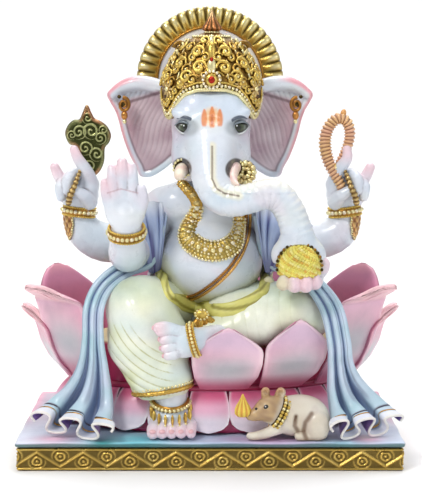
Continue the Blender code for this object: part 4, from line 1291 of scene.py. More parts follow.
def right_leg(p):
    shape = join(ball(p, (-68, -62, 148), (33, 36, 28)), ball(p, (-59, -72, 117), (40, 26, 38)), 14)
    shape = join(shape, ball(p, (-48, -80, 84), (31, 20, 27)), 12)
    shape = join(shape, limb(p, ((-34, -10, 146, 28), (-66, -50, 148, 29))), 12)
    r = np.hypot(p[:, 0] + 22, p[:, 2] - 166)
    side = step_up(-p[:, 0], 26, 44) * step_up(150 - p[:, 2], 0, 22)
    shape = shape - folds(r, 7.6, 1.0) * step_up(r, 52, 66) * (1 - step_up(r, 108, 118)) * side
    r = np.hypot(p[:, 0] - 16, p[:, 2] - 196)
    upper = step_up(r, 84, 92) * (1 - step_up(r, 112, 120)) * step_up(p[:, 2], 138, 150)
    shape = shape - folds(r, 10, 0.5) * upper
    return np.maximum(shape, 65.0 + 0.14 * (p[:, 0] + 45) - p[:, 2])


def left_leg(p):
    shape = join(ball(p, (54, -44, 140), (62, 38, 27)), ball(p, (92, -46, 140), (27, 36, 27)), 10)
    shape = join(shape, limb(p, ((28, -10, 142, 27), (80, -38, 142, 27))), 10)
    shape = join(shape, limb(p, ((0, -68, 127, 13), (24, -70, 128, 16), (50, -66, 132, 20))), 9)
    r = np.hypot(p[:, 0] - 132, p[:, 2] - 150)
    shape = shape - folds(r, 11, 0.45) * step_up(r, 36, 48) * (1 - step_up(r, 120, 134)) * (p[:, 1] < -20)
    return np.maximum(shape, ON_SEAT - p[:, 2])


def dhoti_paint(arc_x, arc_z, spacing):
    """Cream cloth, with olive painted shade in its folds."""
    def paint(p, n, hollow):
        colour = mix(CREAM, rgb(214, 226, 206), 0.5 + 0.5 * cloud(p, 48, 21))
        colour = mix(colour, rgb(216, 232, 240), 0.5 * step_up(cloud(p, 70, 22), 0.1, 0.9))
        low = step_up(140 - p[:, 2], 0, 50)
        colour = mix(colour, rgb(206, 210, 140), (0.25 + 0.4 * low) * step_up(cloud(p, 42, 23), -0.2, 0.8))
        r = np.hypot(p[:, 0] - arc_x, p[:, 2] - arc_z)
        groove = 1 - step_up(np.abs(np.sin(r * math.pi / spacing)), 0.05, 0.42)
        # Painted shade: olive in the fold grooves, and darker olive in the deepest hollows.
        colour = mix(colour, OLIVE, 0.8 * groove * step_up(hollow, 0.02, 0.16))
        return mix(colour, rgb(150, 148, 96), 0.5 * step_up(hollow, 0.15, 0.5))
    return paint


# The hanging foot's toes, from the big one on, as places across it.
TOES = (-1.75, -0.85, 0.05, 0.95, 1.9)


def right_foot(p):
    foot = join(limb(p, ((-38, -76, 74, 16), (-38, -80, 58, 15.5), (-37, -86, 46, 14))),
                ball(p, (-37, -88, 43), (20.5, 15, 11)), 7)
    toes = fingers(p, [((-36 + 9 * i, -92, 40, 6.6),
                        (-36.6 + 9.7 * i, -101, 38.5 - 0.5 * abs(i), 6.1 - 0.35 * i),
                        (-37 + 10 * i, -105.5, 34.5, 5.2 - 0.3 * i)) for i in TOES], 1.0)
    shape = join(foot, toes, 3.0)
    return np.maximum(shape, ON_SLAB - p[:, 2])


def left_foot(p):
    foot = join(limb(p, ((20, -72, 127, 10), (4, -81, 125, 10), (-9, -90, 123.5, 10.5),
                         (-18, -95.5, 122.5, 11.5))),
                ball(p, (-25, -98, 121.5), (16, 9, 15.5)), 7)
    toes = fingers(p, [((-34, -101, z, 5.6), (-41.5 + dx, -105, z + 0.5, 5.1),
                        (-46.5 + dx, -106, z - 0.8, 4.3))
                       for z, dx in ((133, -0.5), (125, 2.5), (117.3, 3.8), (110.2, 6.5))], 1.0)
    big = limb(p, ((-30, -100, 132, 6), (-42, -104, 136, 6.2), (-49, -105, 136, 5.2)))
    return join(join(foot, toes, 2.6), big, 1.2)


def foot_paint(p, n, hollow):
    colour = stone_paint(p, n, hollow)
    toes = np.maximum(1 - step_up(p[:, 2] + 0.25 * (p[:, 1] + 105), 36, 52),
                      (1 - step_up(p[:, 0], -50, -34)) * (p[:, 2] > 90))
    colour = mix(colour, BLUSH, 0.75 * toes)
    return mix(colour, rgb(186, 130, 150), 0.8 * step_up(hollow, 0.12, 0.4))


def make_legs():
    pile = carved(right_leg, dhoti_paint(-22, 166, 7.6), (-106, -106, 58), (-2, 24, 182), 0.9, rounds=1)
    put("dhoti_hanging", pile, ENAMEL, "dhoti_cream", "dhoti_right_leg")
    pile = carved(left_leg, dhoti_paint(132, 150, 11), (-20, -90, 108), (124, 22, 174), 0.95)
    put("dhoti_folded", pile, ENAMEL, "dhoti_cream", "dhoti_left_leg")
    pile = carved(right_foot, foot_paint, (-64, -114, 26), (-10, -56, 94), 0.75)
    put("foot_hanging", pile, STONE, "white_marble", "foot_right")
    pile = carved(left_foot, foot_paint, (-62, -114, 98), (36, -66, 146), 0.75)
    put("foot_folded", pile, STONE, "white_marble", "foot_left")
    nails = Pile()
    for i in TOES:
        add_blob(nails, (-37 + 10 * i, -109.6 + 0.3 * i, 37.2), (3.0 - 0.2 * i, 2.4, 1.2),
                 rgb(226, 176, 182), (0, -0.8, 0.6))
    for z, x in ((136.5, -53.4), (125.5, -48.0), (117.0, -46.8), (109.6, -44)):
        add_blob(nails, (x, -107.0, z), (1.2, 2.4, 1.9), rgb(226, 180, 186), (-0.8, -0.6, 0))
    put("toenails", nails, STONE, "white_marble")
    make_hem()


def make_hem():
    """The gilt hem over the right ankle."""
    pile = Pile()
    loop, out = ring_on(right_leg, (-47, -79, 72), (1, 0, 0.16), (0, 1, 0.0), 0.6, count=60, first=26)
    add_sweep(pile, with_radius(loop, 2.6, 2), lambda s, t: (0.9 + 0.1 * np.cos(s * 1.6), 1 + 0 * s),
              mix(GOLD_DEEP, GOLD, 0.5), 10, 300, closed=True)
    row = loop + np.array((0, 0, 4.2)) + 0.5 * out
    add_beads(pile, spaced(row, 3.6, closed=True), 1.3, GOLD_PALE)
    put("dhoti_hem", pile, LEAF, "gold_leaf")


# ---------------------------------------------------------------- cloth

def strand(height, pleats, curl, u):
    """The section of pleated cloth: where each share u, -1 to 1, lies across and how far it stands out."""
    phase = u * pleats * math.pi
    return u + curl * np.sin(2 * phase) / (pleats * math.pi), height * np.cos(phase)


# The lines near a drape's hem: how far down it, their shade on the cloth and their cord's colour.
HEM_LINES = ((0.905, rgb(70, 70, 96), rgb(84, 78, 90)), (0.935, rgb(150, 120, 60), GOLD_DEEP))


def make_drape(name, node, line, pleats, seed):
    """One end of the shawl, hanging in pleats that open into tubes at the hem. line is rows of centre x, y,
    z, half width, pleat height and curl."""
    rows, columns = 300, 200
    spine = spline(line, rows)
    u, v = sheet_places(rows, columns)
    wave, height = strand(spine[:, 4][:, None], pleats, spine[:, 5][:, None], u)
    way = np.gradient(spine[:, :3], axis=0)
    way = unit(way)
    flat_out = step_up(v, 0.72, 0.95)
    across = np.cross(way, (0, -1.0, 0.3) * (1 - flat_out) + (0, -0.2, 1.0) * flat_out)
    across = unit(across)
    across = np.where(across[:, :1] < 0, -across, across)
    out = np.cross(across, way)
    out = np.where((out @ np.array((0, -1.0, 0.6)))[:, None] < 0, -out, out)
    sway = 0.05 * np.sin(6 * v + seed + 2.2 * u)
    uneven = 1 + 0.22 * np.sin(2.1 * u * math.pi + seed)
    crease = np.sin(u * 19 + 2.6 * np.sin(3.1 * v + seed) + 1.5 * v)
    crease = crease * step_up(v, 0.1, 0.3) * (1 - step_up(v, 0.8, 0.92))
    height = height * uneven + 0.4 * crease
    points = (spine[:, None, :3] + across[:, None, :] * (spine[:, 3][:, None] * (wave + sway * v))[..., None]
              + out[:, None, :] * height[..., None])
    points[..., 2] = np.maximum(points[..., 2], ON_SLAB + 0.9)
    flat = points.reshape(-1, 3)
    phase = (u * pleats * math.pi + 0 * v).ravel()
    depth = 0.5 - 0.5 * np.cos(phase)
    colour = mix(LILAC, rgb(176, 208, 218), 0.5 + 0.5 * cloud(flat, 40, seed))
    # Blue in the pleat valleys and creases: the shawl's blue fold paint, deepened there as painted shade.
    colour = mix(colour, FOLD_SHADE_BLUE, 0.9 * depth ** 3)
    colour = mix(colour, rgb(112, 128, 178), 0.35 * depth)
    colour = mix(colour, rgb(92, 104, 136), 0.45 * step_up(-crease.ravel(), 0.35, 0.95))
    run = (v + 0 * u).ravel()
    for place, tone, _ in HEM_LINES:
        colour = mix(colour, tone, 0.85 * np.exp(-((run - place) / 0.005) ** 2))
    colour = mix(colour, rgb(236, 236, 244), 0.8 * step_up(run, 0.94, 0.955))
    back = mix(VIOLET, rgb(150, 120, 176), 0.5 + 0.5 * cloud(flat, 14, seed + 1))
    # Painted shade: the inner face darkens away from the hem.
    back = mix(back, rgb(60, 50, 90), 0.6 * (1 - step_up(run, 0.88, 0.97)))
    pile = Pile()
    add_sheet(pile, points, 2.6 - 0.5 * v, colour, back)
    put(name, pile, ENAMEL, "shawl_lilac", node)
    trim = Pile()
    hem = points[-1] + 0.2 * way[-1]
    add_sweep(trim, with_radius(hem, 1.35, 3), plain, HEM_WHITE, 8, 240,
              face=(0, -0.5, 1))
    put(name + "_edge", trim, ENAMEL, "shawl_lilac")
    cord = Pile()
    for place, _, tone in HEM_LINES:
        k = int(rows * place)
        add_sweep(cord, with_radius(points[k] + out[k], 0.75, 3), plain, tone, 6, 200, face=(0, -0.5, 1))
    put(name + "_lines", cord, LEAF, "gold_leaf")


RIGHT_DRAPE = ((-47, -26, 238, 5, 0.8, 0.0), (-52, -32, 222, 7, 1.2, 0.05), (-57, -32, 204, 8, 1.4, 0.05),
               (-64, -31, 190, 8, 1.4, 0.05), (-82, -38, 184, 8.5, 1.4, 0.05), (-102, -63, 171, 9, 1.6, 0.05),
               (-111, -83, 152, 9.5, 1.8, 0.05), (-112, -88, 122, 10, 2.0, 0.05),
               (-112.5, -86, 98, 14, 2.8, 0.1),
               (-115, -83, 78, 20, 4.4, 0.2), (-120, -85, 60, 28, 7.0, 0.5), (-127, -95, 46.5, 35, 9.6, 1.0),
               (-131, -106, 41.5, 38, 10.4, 1.25))
LEFT_DRAPE = ((48, -30, 236, 5, 0.8, 0.0), (53, -33, 222, 8, 1.2, 0.05), (58, -33, 206, 10, 1.4, 0.05),
              (65, -30, 191, 9, 1.4, 0.05), (80, -36, 184, 8, 1.4, 0.05), (98, -64, 174, 8, 1.6, 0.05),
              (115, -84, 152, 10.5, 1.8, 0.05), (122.5, -89, 122, 11, 2.0, 0.05),
              (125, -86, 98, 12, 2.8, 0.1),
              (129, -83, 78, 17, 4.4, 0.2), (136, -85, 60, 24, 7.0, 0.5), (144, -95, 46.5, 31, 9.6, 1.0),
              (148, -106, 41.5, 34, 10.4, 1.25))


def shawl_back_points():
    """The shawl round the back: it dips to pass under the rear arms and meets the fans at the sides."""
    u, v = sheet_places(80, 180)
    angle = np.radians(108 * u)
    broad = 1.1 * np.sin(v * 19 + 5 * np.cos(1.9 * u) + 1.6 * u)
    narrow = 0.7 * np.sin(v * 34 - 4 * u + 2 * np.sin(3 * u))
    crease = (broad + narrow) * (0.45 + 0.55 * np.sin(2.1 * u + 1.1 + 4 * v) ** 2)
    low = 168 - 2 * u * u
    high = 226 - 34 * u * u
    x = (61 + crease) * np.sin(angle)
    y = 3 + (54 + crease) * np.cos(angle)
    return np.stack((x, y, low + (high - low) * v), axis=-1), crease


def make_shawl_fan(side, name, root, inner, outer):
    """The part of the shawl that spreads from the lap up to the shoulder, in folds that meet below."""
    rows, columns = 60, 110
    v = np.linspace(0, 1, rows)[:, None, None]
    u = np.linspace(0, 1, columns)[None, :, None]
    root, inner, outer = (np.array(q, float) for q in (root, inner, outer))
    top = inner + (outer - inner) * u + np.array((side * 6.0, -5.0, 7.0)) * np.sin(math.pi * u)
    low = root + np.array((side * 10.0, -2.0, 2.0)) * (u - 0.5)
    points = low + (top - low) * v
    wave = np.cos((u + 0.12 * np.sin(7 * u)) * 5 * 2 * math.pi + 1.4 * np.sin(3.4 * v + 2 * u))
    points = points + np.array((0, -1.0, 0.2)) * (0.5 + 2.2 * v) * wave
    points = points - np.array((0, 1.0, 0)) * 9 * np.sin(math.pi * v)
    flat = points.reshape(-1, 3)
    # Painted shade: deep blue in the fold valleys, and a purple painted shadow low on the fan, where it
    # gathers at the lap.
    depth = step_up(-(wave + 0 * v).ravel(), -0.6, 1.0)
    colour = mix(rgb(178, 196, 232), rgb(72, 76, 140), 0.92 * depth)
    high = (v + 0 * u).ravel()
    colour = mix(colour, rgb(96, 84, 150), 0.6 * (1 - step_up(high, 0.1, 0.5)))
    colour = mix(colour, MARBLE, 0.8 * step_up(high, 0.72, 1.0))
    pile = Pile()
    add_sheet(pile, points, 2.2, colour)
    put(name, pile, ENAMEL, "shawl_lilac")


def make_shawl():
    make_drape("drape_hanging_right", "shawl_drape_right", RIGHT_DRAPE, 2.5, 31)
    make_drape("drape_hanging_left", "shawl_drape_left", LEFT_DRAPE, 2.5, 37)
    make_shawl_fan(-1, "shawl_fan_right", (-55, -27, 178), (-42, -24, 246), (-68, -28, 236))
    make_shawl_fan(1, "shawl_fan_left", (60, -30, 180), (44, -34, 246), (100, -40, 226))
    points, crease = shawl_back_points()
    flat = points.reshape(-1, 3)
    # Painted shade: blue in the crease valleys.
    colour = mix(LILAC, FOLD_SHADE_BLUE, 0.7 * step_up(-crease.ravel(), 0.3, 1.4))
    pile = Pile()
    add_sheet(pile, points, 3.0, colour, outward=points * (1, 1, 0))
    for edge in (points[0], points[-1]):
        add_sweep(pile, with_radius(edge, 1.9, 4), plain, HEM_WHITE, 8, 160, face=(0, 0, 1))
    put("shawl_round_back", pile, ENAMEL, "shawl_lilac", "shawl_back")


# ---------------------------------------------------------------- jewellery

def figure_front(p):
    """The belly, chest and legs together, for the things laid over them."""
    return np.minimum(torso_shape(p), np.minimum(right_leg(p), left_leg(p)))


def side_of(path, face):
    """The direction across a path that lies flat under the face direction."""
    way = np.gradient(path, axis=0)
    way = unit(way)
    side = np.cross(way, np.asarray(face, float) * np.ones_like(path))
    return unit(side)


NECKLACE = ((-29, 268), (-22, 260), (-15, 252), (-13, 242), (-18, 227), (-21, 213), (-10, 203), (6, 200),
            (21, 206), (28, 222), (29, 238), (31, 251), (33, 264))
THREAD = ((36, 248), (37.5, 232), (36, 217), (30, 201), (21, 187), (9, 174.5),
          (-3, 164.5), (-14, 157), (-25, 152.5))
SASH_PATH = ((-52, 190), (-46, 174), (-36, 160), (-23, 150.5), (-8, 147),
             (9, 149), (26, 154), (43, 162), (56, 170),
             (64, 178))


# The necklace's rows of beads: place across it, radius, spacing, the two colours and how far they stand out.
BEAD_ROWS = ((-0.98, 1.5, 3.3, (PEARL, GOLD_PALE), 0.8), (0.98, 1.5, 3.3, (PEARL, GOLD_PALE), 0.8),
             (0.66, 1.3, 3.3, (GOLD_PALE, GOLD), 1.7), (-0.66, 1.3, 3.3, (GOLD, PEARL), 1.7),
             (0.36, 1.3, 3.6, (GOLD_PALE, PEARL), 2.3), (-0.36, 1.3, 3.6, (PEARL, GOLD_PALE), 2.3))


def make_necklace():
    """A broad garland: a smooth twisted part over the shoulders and a jewelled part on the belly."""
    path = spline([(x, -30, z) for x, z in NECKLACE], 120)
    path = laid_on(torso_shape, path, (0, -1, 0.12), 0.6)
    face = np.array((0, -1.0, 0.25))
    share = np.linspace(0, 1, len(path))
    low = step_up(share, 0.26, 0.36) * (1 - step_up(share, 0.66, 0.76))
    half = 5.8 + 3.9 * low
    pile = Pile()
    stations = np.column_stack((path, half))

    def tint(s, t, points):
        return mix(mix(GOLD, GOLD_DEEP, 0.7), rgb(170, 150, 80), 0.8 * step_up(-points[:, 2], -238, -222))

    def ridged(s, t):
        return 1 + 0 * s, 0.34 * (1 + 0.2 * np.cos(s * 1.3 + t))

    add_sweep(pile, stations[::3], ridged, tint, 16, 240, face=face)
    put("garland_base", pile, LEAF, "gold_leaf", "necklace")
    jewels = Pile()
    side = side_of(path, face)
    for offset, radius, gap, tones, lift in BEAD_ROWS:
        row = path + side * (offset * half)[:, None] + lift * face
        keep = row[(share > 0.24) & (share < 0.80)]
        for k, at in enumerate(spaced(keep, gap)):
            add_bead(jewels, at, radius, tones[k % 2])
    centre = (path + 2.9 * face)[(share > 0.25) & (share < 0.78)]
    for k, at in enumerate(spaced(centre, 7.4)):
        add_bead(jewels, at, (2.5, 1.5, 2.5), (PEARL, GOLD_PALE)[k % 2])
        for j in range(6):
            a = j * math.pi / 3
            add_bead(jewels, at + (3.0 * math.cos(a), -0.4, 3.0 * math.sin(a)), 0.75, GOLD)
    for part in (path[share < 0.25], path[share > 0.78]):
        for k, at in enumerate(spaced(part + 1.6 * face, 4.2)):
            tone = mix(mix(GOLD, GOLD_DEEP, 0.5), GOLD_PALE, 0.4 * (k % 2))
            add_bead(jewels, at, (3.4, 2.0, 3.0), tone)
    put("garland_jewels", jewels, LEAF, "gold_leaf")


def make_thread():
    """The sacred thread: two twisted gilt cords over the left shoulder and across the belly."""
    pile = Pile()
    base = spline([(x, -30, z) for x, z in THREAD], 60)
    side = side_of(base, (0, -1, 0))
    for offset, radius, colour in ((-2.2, 1.5, mix(GOLD, COPPER, 0.5)),
                                   (1.5, 1.4, mix(GOLD_DEEP, rgb(120, 60, 40), 0.5))):
        path = laid_on(figure_front, base + offset * side, (0, -1, 0.05), 0.9)
        add_sweep(pile, with_radius(path, radius, 2),
                  twisted(0.16, 2.4, -2), colour, 10, 300)
    put("thread_cords", pile, LEAF, "gold_leaf", "sacred_thread")


def make_belt():
    """The green sash under the belly, creased along its length, and its knot of gilt tassels."""
    pile = Pile()
    base = spline([(x, -30, z) for x, z in SASH_PATH], 80)
    path = laid_on(figure_front, base, (0, -1, -0.1), -0.6)
    share = np.linspace(0, 1, 80)
    half = 6.0 + 3.4 * np.sin(math.pi * share) ** 2

    def tint(s, t, points):
        crease = np.cos(5 * t + 0.12 * s)
        # Painted shade: dark olive in the creases of the sash.
        return mix(mix(SASH, rgb(222, 214, 120), 0.4 + 0.4 * cloud(points, 24, 41)), rgb(128, 118, 30),
                   0.75 * step_up(-crease, 0.2, 0.9))

    add_sweep(pile, np.column_stack((path, half))[::4],
              lambda s, t: (1 + 0.04 * np.cos(5 * t), 0.42 * (1 + 0.13 * np.cos(5 * t + 0.12 * s))),
              tint, 40, 240,
              face=(0, -1, 0.2))
    knob = laid_on(figure_front, [(58, -40, 172)], (0, -1, 0.3), 1.0)[0]
    add_blob(pile, knob, (5.5, 3.6, 5), rgb(240, 234, 196))
    add_blob(pile, knob + (-6, 0, -5), (4.6, 3.6, 4.0), rgb(226, 218, 150))
    put("sash", pile, ENAMEL, "belt_green", "waist_belt")

    tassels = Pile()
    knot = laid_on(figure_front, [(-8, -60, 144)], (0, -1, 0), 6.5)[0]
    add_blob(tassels, knot, (8, 5, 5.6), GOLD)
    for k, (dx, dz) in enumerate(((-11, -17), (-2, -20), (8, -18), (17, -12))):
        tip = knot + np.array((dx, -2.5, dz))
        way = tip - knot
        add_blob(tassels, knot + 0.55 * way, (3.6, 3.0, 0.5 * np.linalg.norm(way)),
                 mix(GOLD_DEEP, GOLD, 0.4 * (k % 2)), way)
        for j in range(5):
            spread = (j - 2) * 1.5
            add_blob(tassels, tip + 0.15 * way + (spread, -0.5, 0), (1.0, 1.2, 4.6),
                     mix(GOLD_DARK, GOLD_PALE, 0.3 + 0.2 * (j % 3)), way + (2.5 * spread, 0, 0))
    for k in range(11):
        a = 2 * math.pi * k / 11
        add_blob(tassels, knot + (6.2 * math.cos(a), -3.2, 4.8 * math.sin(a)), (1.3, 1.1, 1.3), GOLD_PALE)
    put("sash_tassels", tassels, LEAF, "gold_leaf", "belt_tassels")


def add_bangle(pile, field, centre, u, v, first, half, bead):
    """A beaded bangle that hugs a wrist: a dark band, a row of large beads and a fine row on each side."""
    loop, out = ring_on(field, centre, u, v, 0.9, first=first)
    axis = np.cross(u, v) / np.linalg.norm(np.cross(u, v))
    add_sweep(pile, with_radius(loop, half, 2), flattened(0.45),
              mix(GOLD_DEEP, GOLD_DARK, 0.25), 12, 288, face=axis, closed=True)
    middle = spaced(loop + 1.9 * out, 2.12 * bead, closed=True)
    add_beads(pile, middle, bead, [PEARL if k % 3 == 0 else GOLD_PALE for k in range(len(middle))])
    for hand in (-1, 1):
        row = spaced(loop + 0.9 * out + hand * (half - 0.3) * axis, 2.3, closed=True)
        add_beads(pile, row, 1.15, GOLD)


def make_bangles():
    def arm(stations):
        return lambda p: limb(p, stations, 4)

    pile = Pile()
    add_bangle(pile, arm(ARM_RIGHT_FRONT), (-80, -69, 223), (1, 0, 0.0),
               (0, 0.94, 0.34), 14, half=5.0, bead=2.1)
    put("bangle_right_front", pile, LEAF, "gold_leaf", "bracelet_right_front")
    pile = Pile()
    add_bangle(pile, arm(ARM_LEFT_FRONT), (88, -66, 186), (1, 0, 0.1), (0, 0.4, 0.92), 14, half=4.2, bead=1.9)
    put("bangle_left_front", pile, LEAF, "gold_leaf", "bracelet_left_front")
    for side, name, stations in ((-1, "right", ARM_RIGHT_BACK), (1, "left", ARM_LEFT_BACK)):
        pile = Pile()
        x = stations[4][0]
        add_bangle(pile, arm(stations), (x, 12, 236), (1, 0, side * 0.12), (0, 1, 0), 14, half=4.6, bead=2.1)
        add_cuff(pile, side)
        put("bangle_" + name + "_back", pile, LEAF, "gold_leaf", "bracelet_" + name + "_back")


def add_cuff(pile, side):
    """A gilt leaf that hangs from the bangle down the outer side of the elbow."""
    rows, columns = 30, 24
    u, v = sheet_places(rows, columns)
    turn = np.radians(26 + 40 * u * (1 - 0.8 * v ** 2) * (1 - v ** 9))
    z = 233 - 25 * v + 0 * u
    middle = 131 + (0 if side < 0 else 4) - 8 * v ** 1.5
    radius = 16.5 + 3.6 * v + 0.7 * np.cos(u * 9) * np.cos(v * 16)
    out = np.stack((side * np.cos(turn), -np.sin(turn), 0 * z), axis=-1)
    points = np.stack((side * middle + 0 * z, 12 + 0 * z, z), axis=-1) + radius[..., None] * out
    veins = (np.cos(u * 9) * np.cos(v * 16)).ravel()
    colour = mix(rgb(146, 96, 62), rgb(214, 170, 110), step_up(veins, -0.4, 0.5))
    add_sheet(pile, points, 1.8, colour, outward=out)
    for edge in (points[:, 0], points[:, -1]):
        add_beads(pile, spaced(edge, 2.6), 1.2, GOLD_PALE)


def make_anklets():
    pile = Pile()
    loop, out = ring_on(right_foot, (-38, -80, 60), (1, 0, 0), (0, 0.97, 0.22), 1.2, first=20)
    axis = np.array((0, -0.22, 0.97))
    add_sweep(pile, with_radius(loop, 3.2, 2), flattened(0.6),
              GOLD_DEEP, 12, 240, face=axis, closed=True)
    add_beads(pile, spaced(loop + 2.2 * out, 4.0, closed=True), 1.9, GOLD_PALE)
    low, _ = ring_on(right_foot, (-38, -83, 53), (1, 0, 0), (0, 0.95, 0.3), 1.2, first=20)
    # The last place is too near the first for a pendant.
    for k, at in enumerate(spaced(low, 6.4, closed=True)[:-1]):
        out_at = at - np.array((-38, -83, at[2]))
        out_at = out_at / np.linalg.norm(out_at)
        add_blob(pile, at + 0.8 * out_at + (0, 0, 1), (2.6, 1.5, 5.4),
                 mix(GOLD, GOLD_DEEP, 0.5 * (k % 2)), (0, 0, 1), out_at)
        add_bead(pile, at + 1.6 * out_at - (0, 0, 4.6), 1.3, GOLD_PALE)
    put("anklet_hanging", pile, LEAF, "gold_leaf", "anklet_right")
    pile = Pile()
    loop, out = ring_on(left_foot, (-15, -95, 123), (0.10, 1, 0), (-0.25, 0, 1), 1.4, first=11)
    axis = np.array((1, -0.1, 0.25))
    add_sweep(pile, with_radius(loop, 3.0, 2), flattened(0.6),
              GOLD_DEEP, 12, 200, face=axis, closed=True)
    add_beads(pile, spaced(loop + 1.8 * out, 3.6, closed=True), 1.6, GOLD_PALE)
    for hand in (-1, 1):
        add_beads(pile, spaced(loop + 0.8 * out + hand * 3.0 * axis, 2.4, closed=True), 1.1, GOLD)
    put("anklet_folded", pile, LEAF, "gold_leaf", "anklet_left")


# ---------------------------------------------------------------- lotus

LOTUS_Y, LOTUS_SQUASH, WAIST_Z = 6.0, 0.58, 72.0
# How wide a petal is along its length, and its path up from the waist as (share, distance out, height).
SHIELD = (np.array(((0, 0.86), (0.2, 0.97), (0.4, 1.0), (0.58, 1.0), (0.66, 0.95), (0.76, 0.74), (0.88, 0.40),
                    (0.97, 0.12), (1, 0.02))),
          np.array(((0, 144, 0), (0.2, 163, 0.2), (0.4, 173, 0.4), (0.6, 177, 0.6),
                    (0.8, 179, 0.8), (1, 181, 1))))
BROAD = (np.array(((0, 0.86), (0.2, 0.97), (0.5, 1.0), (0.66, 0.97), (0.78, 0.82), (0.88, 0.56), (0.95, 0.33),
                   (0.985, 0.2), (1, 0.06))),
         np.array(((0, 144, 0), (0.2, 162, 0.2), (0.4, 171, 0.4), (0.6, 175, 0.6),
                   (0.8, 178, 0.8), (1, 184, 1))))
TONGUE = (np.array(((0, 0.86), (0.15, 0.97), (0.35, 1.0), (0.63, 1.0),
                    (0.67, 0.93), (0.72, 0.64), (0.77, 0.42),
                    (0.84, 0.34), (0.93, 0.32), (0.97, 0.25), (1, 0.08))),
          np.array(((0, 144, 0), (0.2, 165, 0.26), (0.4, 175, 0.54), (0.55, 179, 0.74), (0.64, 182, 0.84),
                    (0.72, 187, 0.89), (0.82, 195, 0.94), (0.92, 204, 0.985), (1, 211, 1.0))))
CURVED = (np.array(((0, 0.86), (0.2, 0.98), (0.4, 1.0), (0.60, 0.97), (0.69, 0.80),
                    (0.77, 0.56), (0.86, 0.42),
                    (0.94, 0.33), (0.98, 0.22), (1, 0.06))),
          np.array(((0, 144, 0), (0.2, 162, 0.22), (0.4, 171, 0.46), (0.6, 175, 0.70), (0.78, 180, 0.88),
                    (0.9, 186, 0.97), (1, 191, 1.0))))
# Each upturned petal: its place round the seat and half its width in degrees, its height, its shape and how
# thick its tip is.
PETALS = (
    (5.5, 11.2, 62, SHIELD, 3.4), (28.5, 11.2, 68, SHIELD, 3.4), (57, 14.2, 95, TONGUE, 9.5),
    (79, 14.4, 70, CURVED, 10), (119, 20, 104, BROAD, 5), (153, 14.6, 101, BROAD, 5),
    (180, 12.4, 101, BROAD, 5),
    (207, 14.6, 101, BROAD, 5), (241, 20, 104, BROAD, 5), (281, 14.4, 70, CURVED, 10),
    (304, 14.2, 95, TONGUE, 9.5),
)


def petal_points(angle, half, rise, shape):
    """A grid for one upturned petal, with each point's place across and up it."""
    rows, columns = 72, 48
    widths, path = shape
    u, v = sheet_places(rows, columns)
    width = np.interp(v, widths[:, 0], widths[:, 1])
    radius = np.interp(v, path[:, 0], path[:, 1])
    height = np.interp(v, path[:, 0], path[:, 2])
    for _ in range(4):
        for line in (width, radius, height):
            line[1:-1] = (line[:-2] + 2 * line[1:-1] + line[2:]) / 4
    turn = np.radians(angle + half * width * u)
    radius = radius - 6.0 * (1 - u * u) * np.sin(math.pi * v ** 0.8) * width
    radius = radius + 1.6 * step_up(np.abs(u), 0.82, 0.97) * (v < 0.97)
    x = radius * np.sin(turn)
    y = LOTUS_Y - LOTUS_SQUASH * radius * np.cos(turn)
    z = WAIST_Z + 1 + rise * height + 0 * u
    return np.stack((x, y, z), axis=-1), u + 0 * v, v + 0 * u


def petal_colour(flat, u, v, seed):
    colour = mix(PINK_PALE, PINK, 0.30 + 0.3 * cloud(flat, 60, seed))
    colour = mix(colour, rgb(200, 176, 204), 0.6 * step_up(v, 0.45, 0.8) * (1 - step_up(v, 0.9, 1.0)))
    middle = np.exp(-((v - 0.33) / 0.22) ** 2) * (1 - np.abs(u) ** 2.5)
    colour = mix(colour, rgb(170, 178, 182), 0.85 * middle)
    base = 1 - step_up(v, 0.02, 0.24)
    colour = mix(colour, MAGENTA, 0.85 * base)
    edge = np.maximum(step_up(np.abs(u), 0.86, 0.99), step_up(v, 0.955, 0.99))
    return mix(colour, rgb(246, 218, 224), 0.7 * edge * step_up(v, 0.2, 0.5))


def make_petals():
    for number, (angle, half, rise, shape, thick_tip) in enumerate(PETALS, start=1):
        points, u, v = petal_points(angle, half, rise, shape)
        flat = points.reshape(-1, 3)
        colour = petal_colour(flat, u.ravel(), v.ravel(), 50 + number)
        curled = shape is TONGUE or shape is CURVED
        tongue = step_up(v.ravel(), 0.62, 0.78) if curled else np.zeros(len(flat))
        rosy = 0.75 if shape is CURVED else 0.25 if shape is TONGUE else 0.0
        side = mix(colour, rgb(226, 128, 156), rosy * step_up(v.ravel(), 0.3, 0.6))
        side = mix(side, rgb(244, 196, 200), 0.85 * tongue)
        inside = mix(side, rgb(206, 110, 150), 0.65 * (1 - tongue))
        if shape is BROAD:
            inside = mix(inside, rgb(190, 84, 122), 0.6 * (1 - step_up(v.ravel(), 0.6, 1.0)))
            inside = mix(inside, rgb(240, 170, 186), 0.7 * step_up(v.ravel(), 0.86, 0.98))
        thick = 4.6 + (thick_tip - 4.6) * step_up(v, 0.62, 0.84)
        thick = thick * np.sqrt(np.clip(1 - np.abs(u) ** 6, 0, 1)) * np.sqrt(np.clip(1 - v ** 16, 0, 1)) + 0.9
        pile = Pile()
        add_sheet(pile, points, thick, side, inside, outward=points * (1, 1, 0))
        put(f"petal_{number:02d}", pile, ENAMEL, "lotus_pink", f"lotus_petal_{number:02d}")


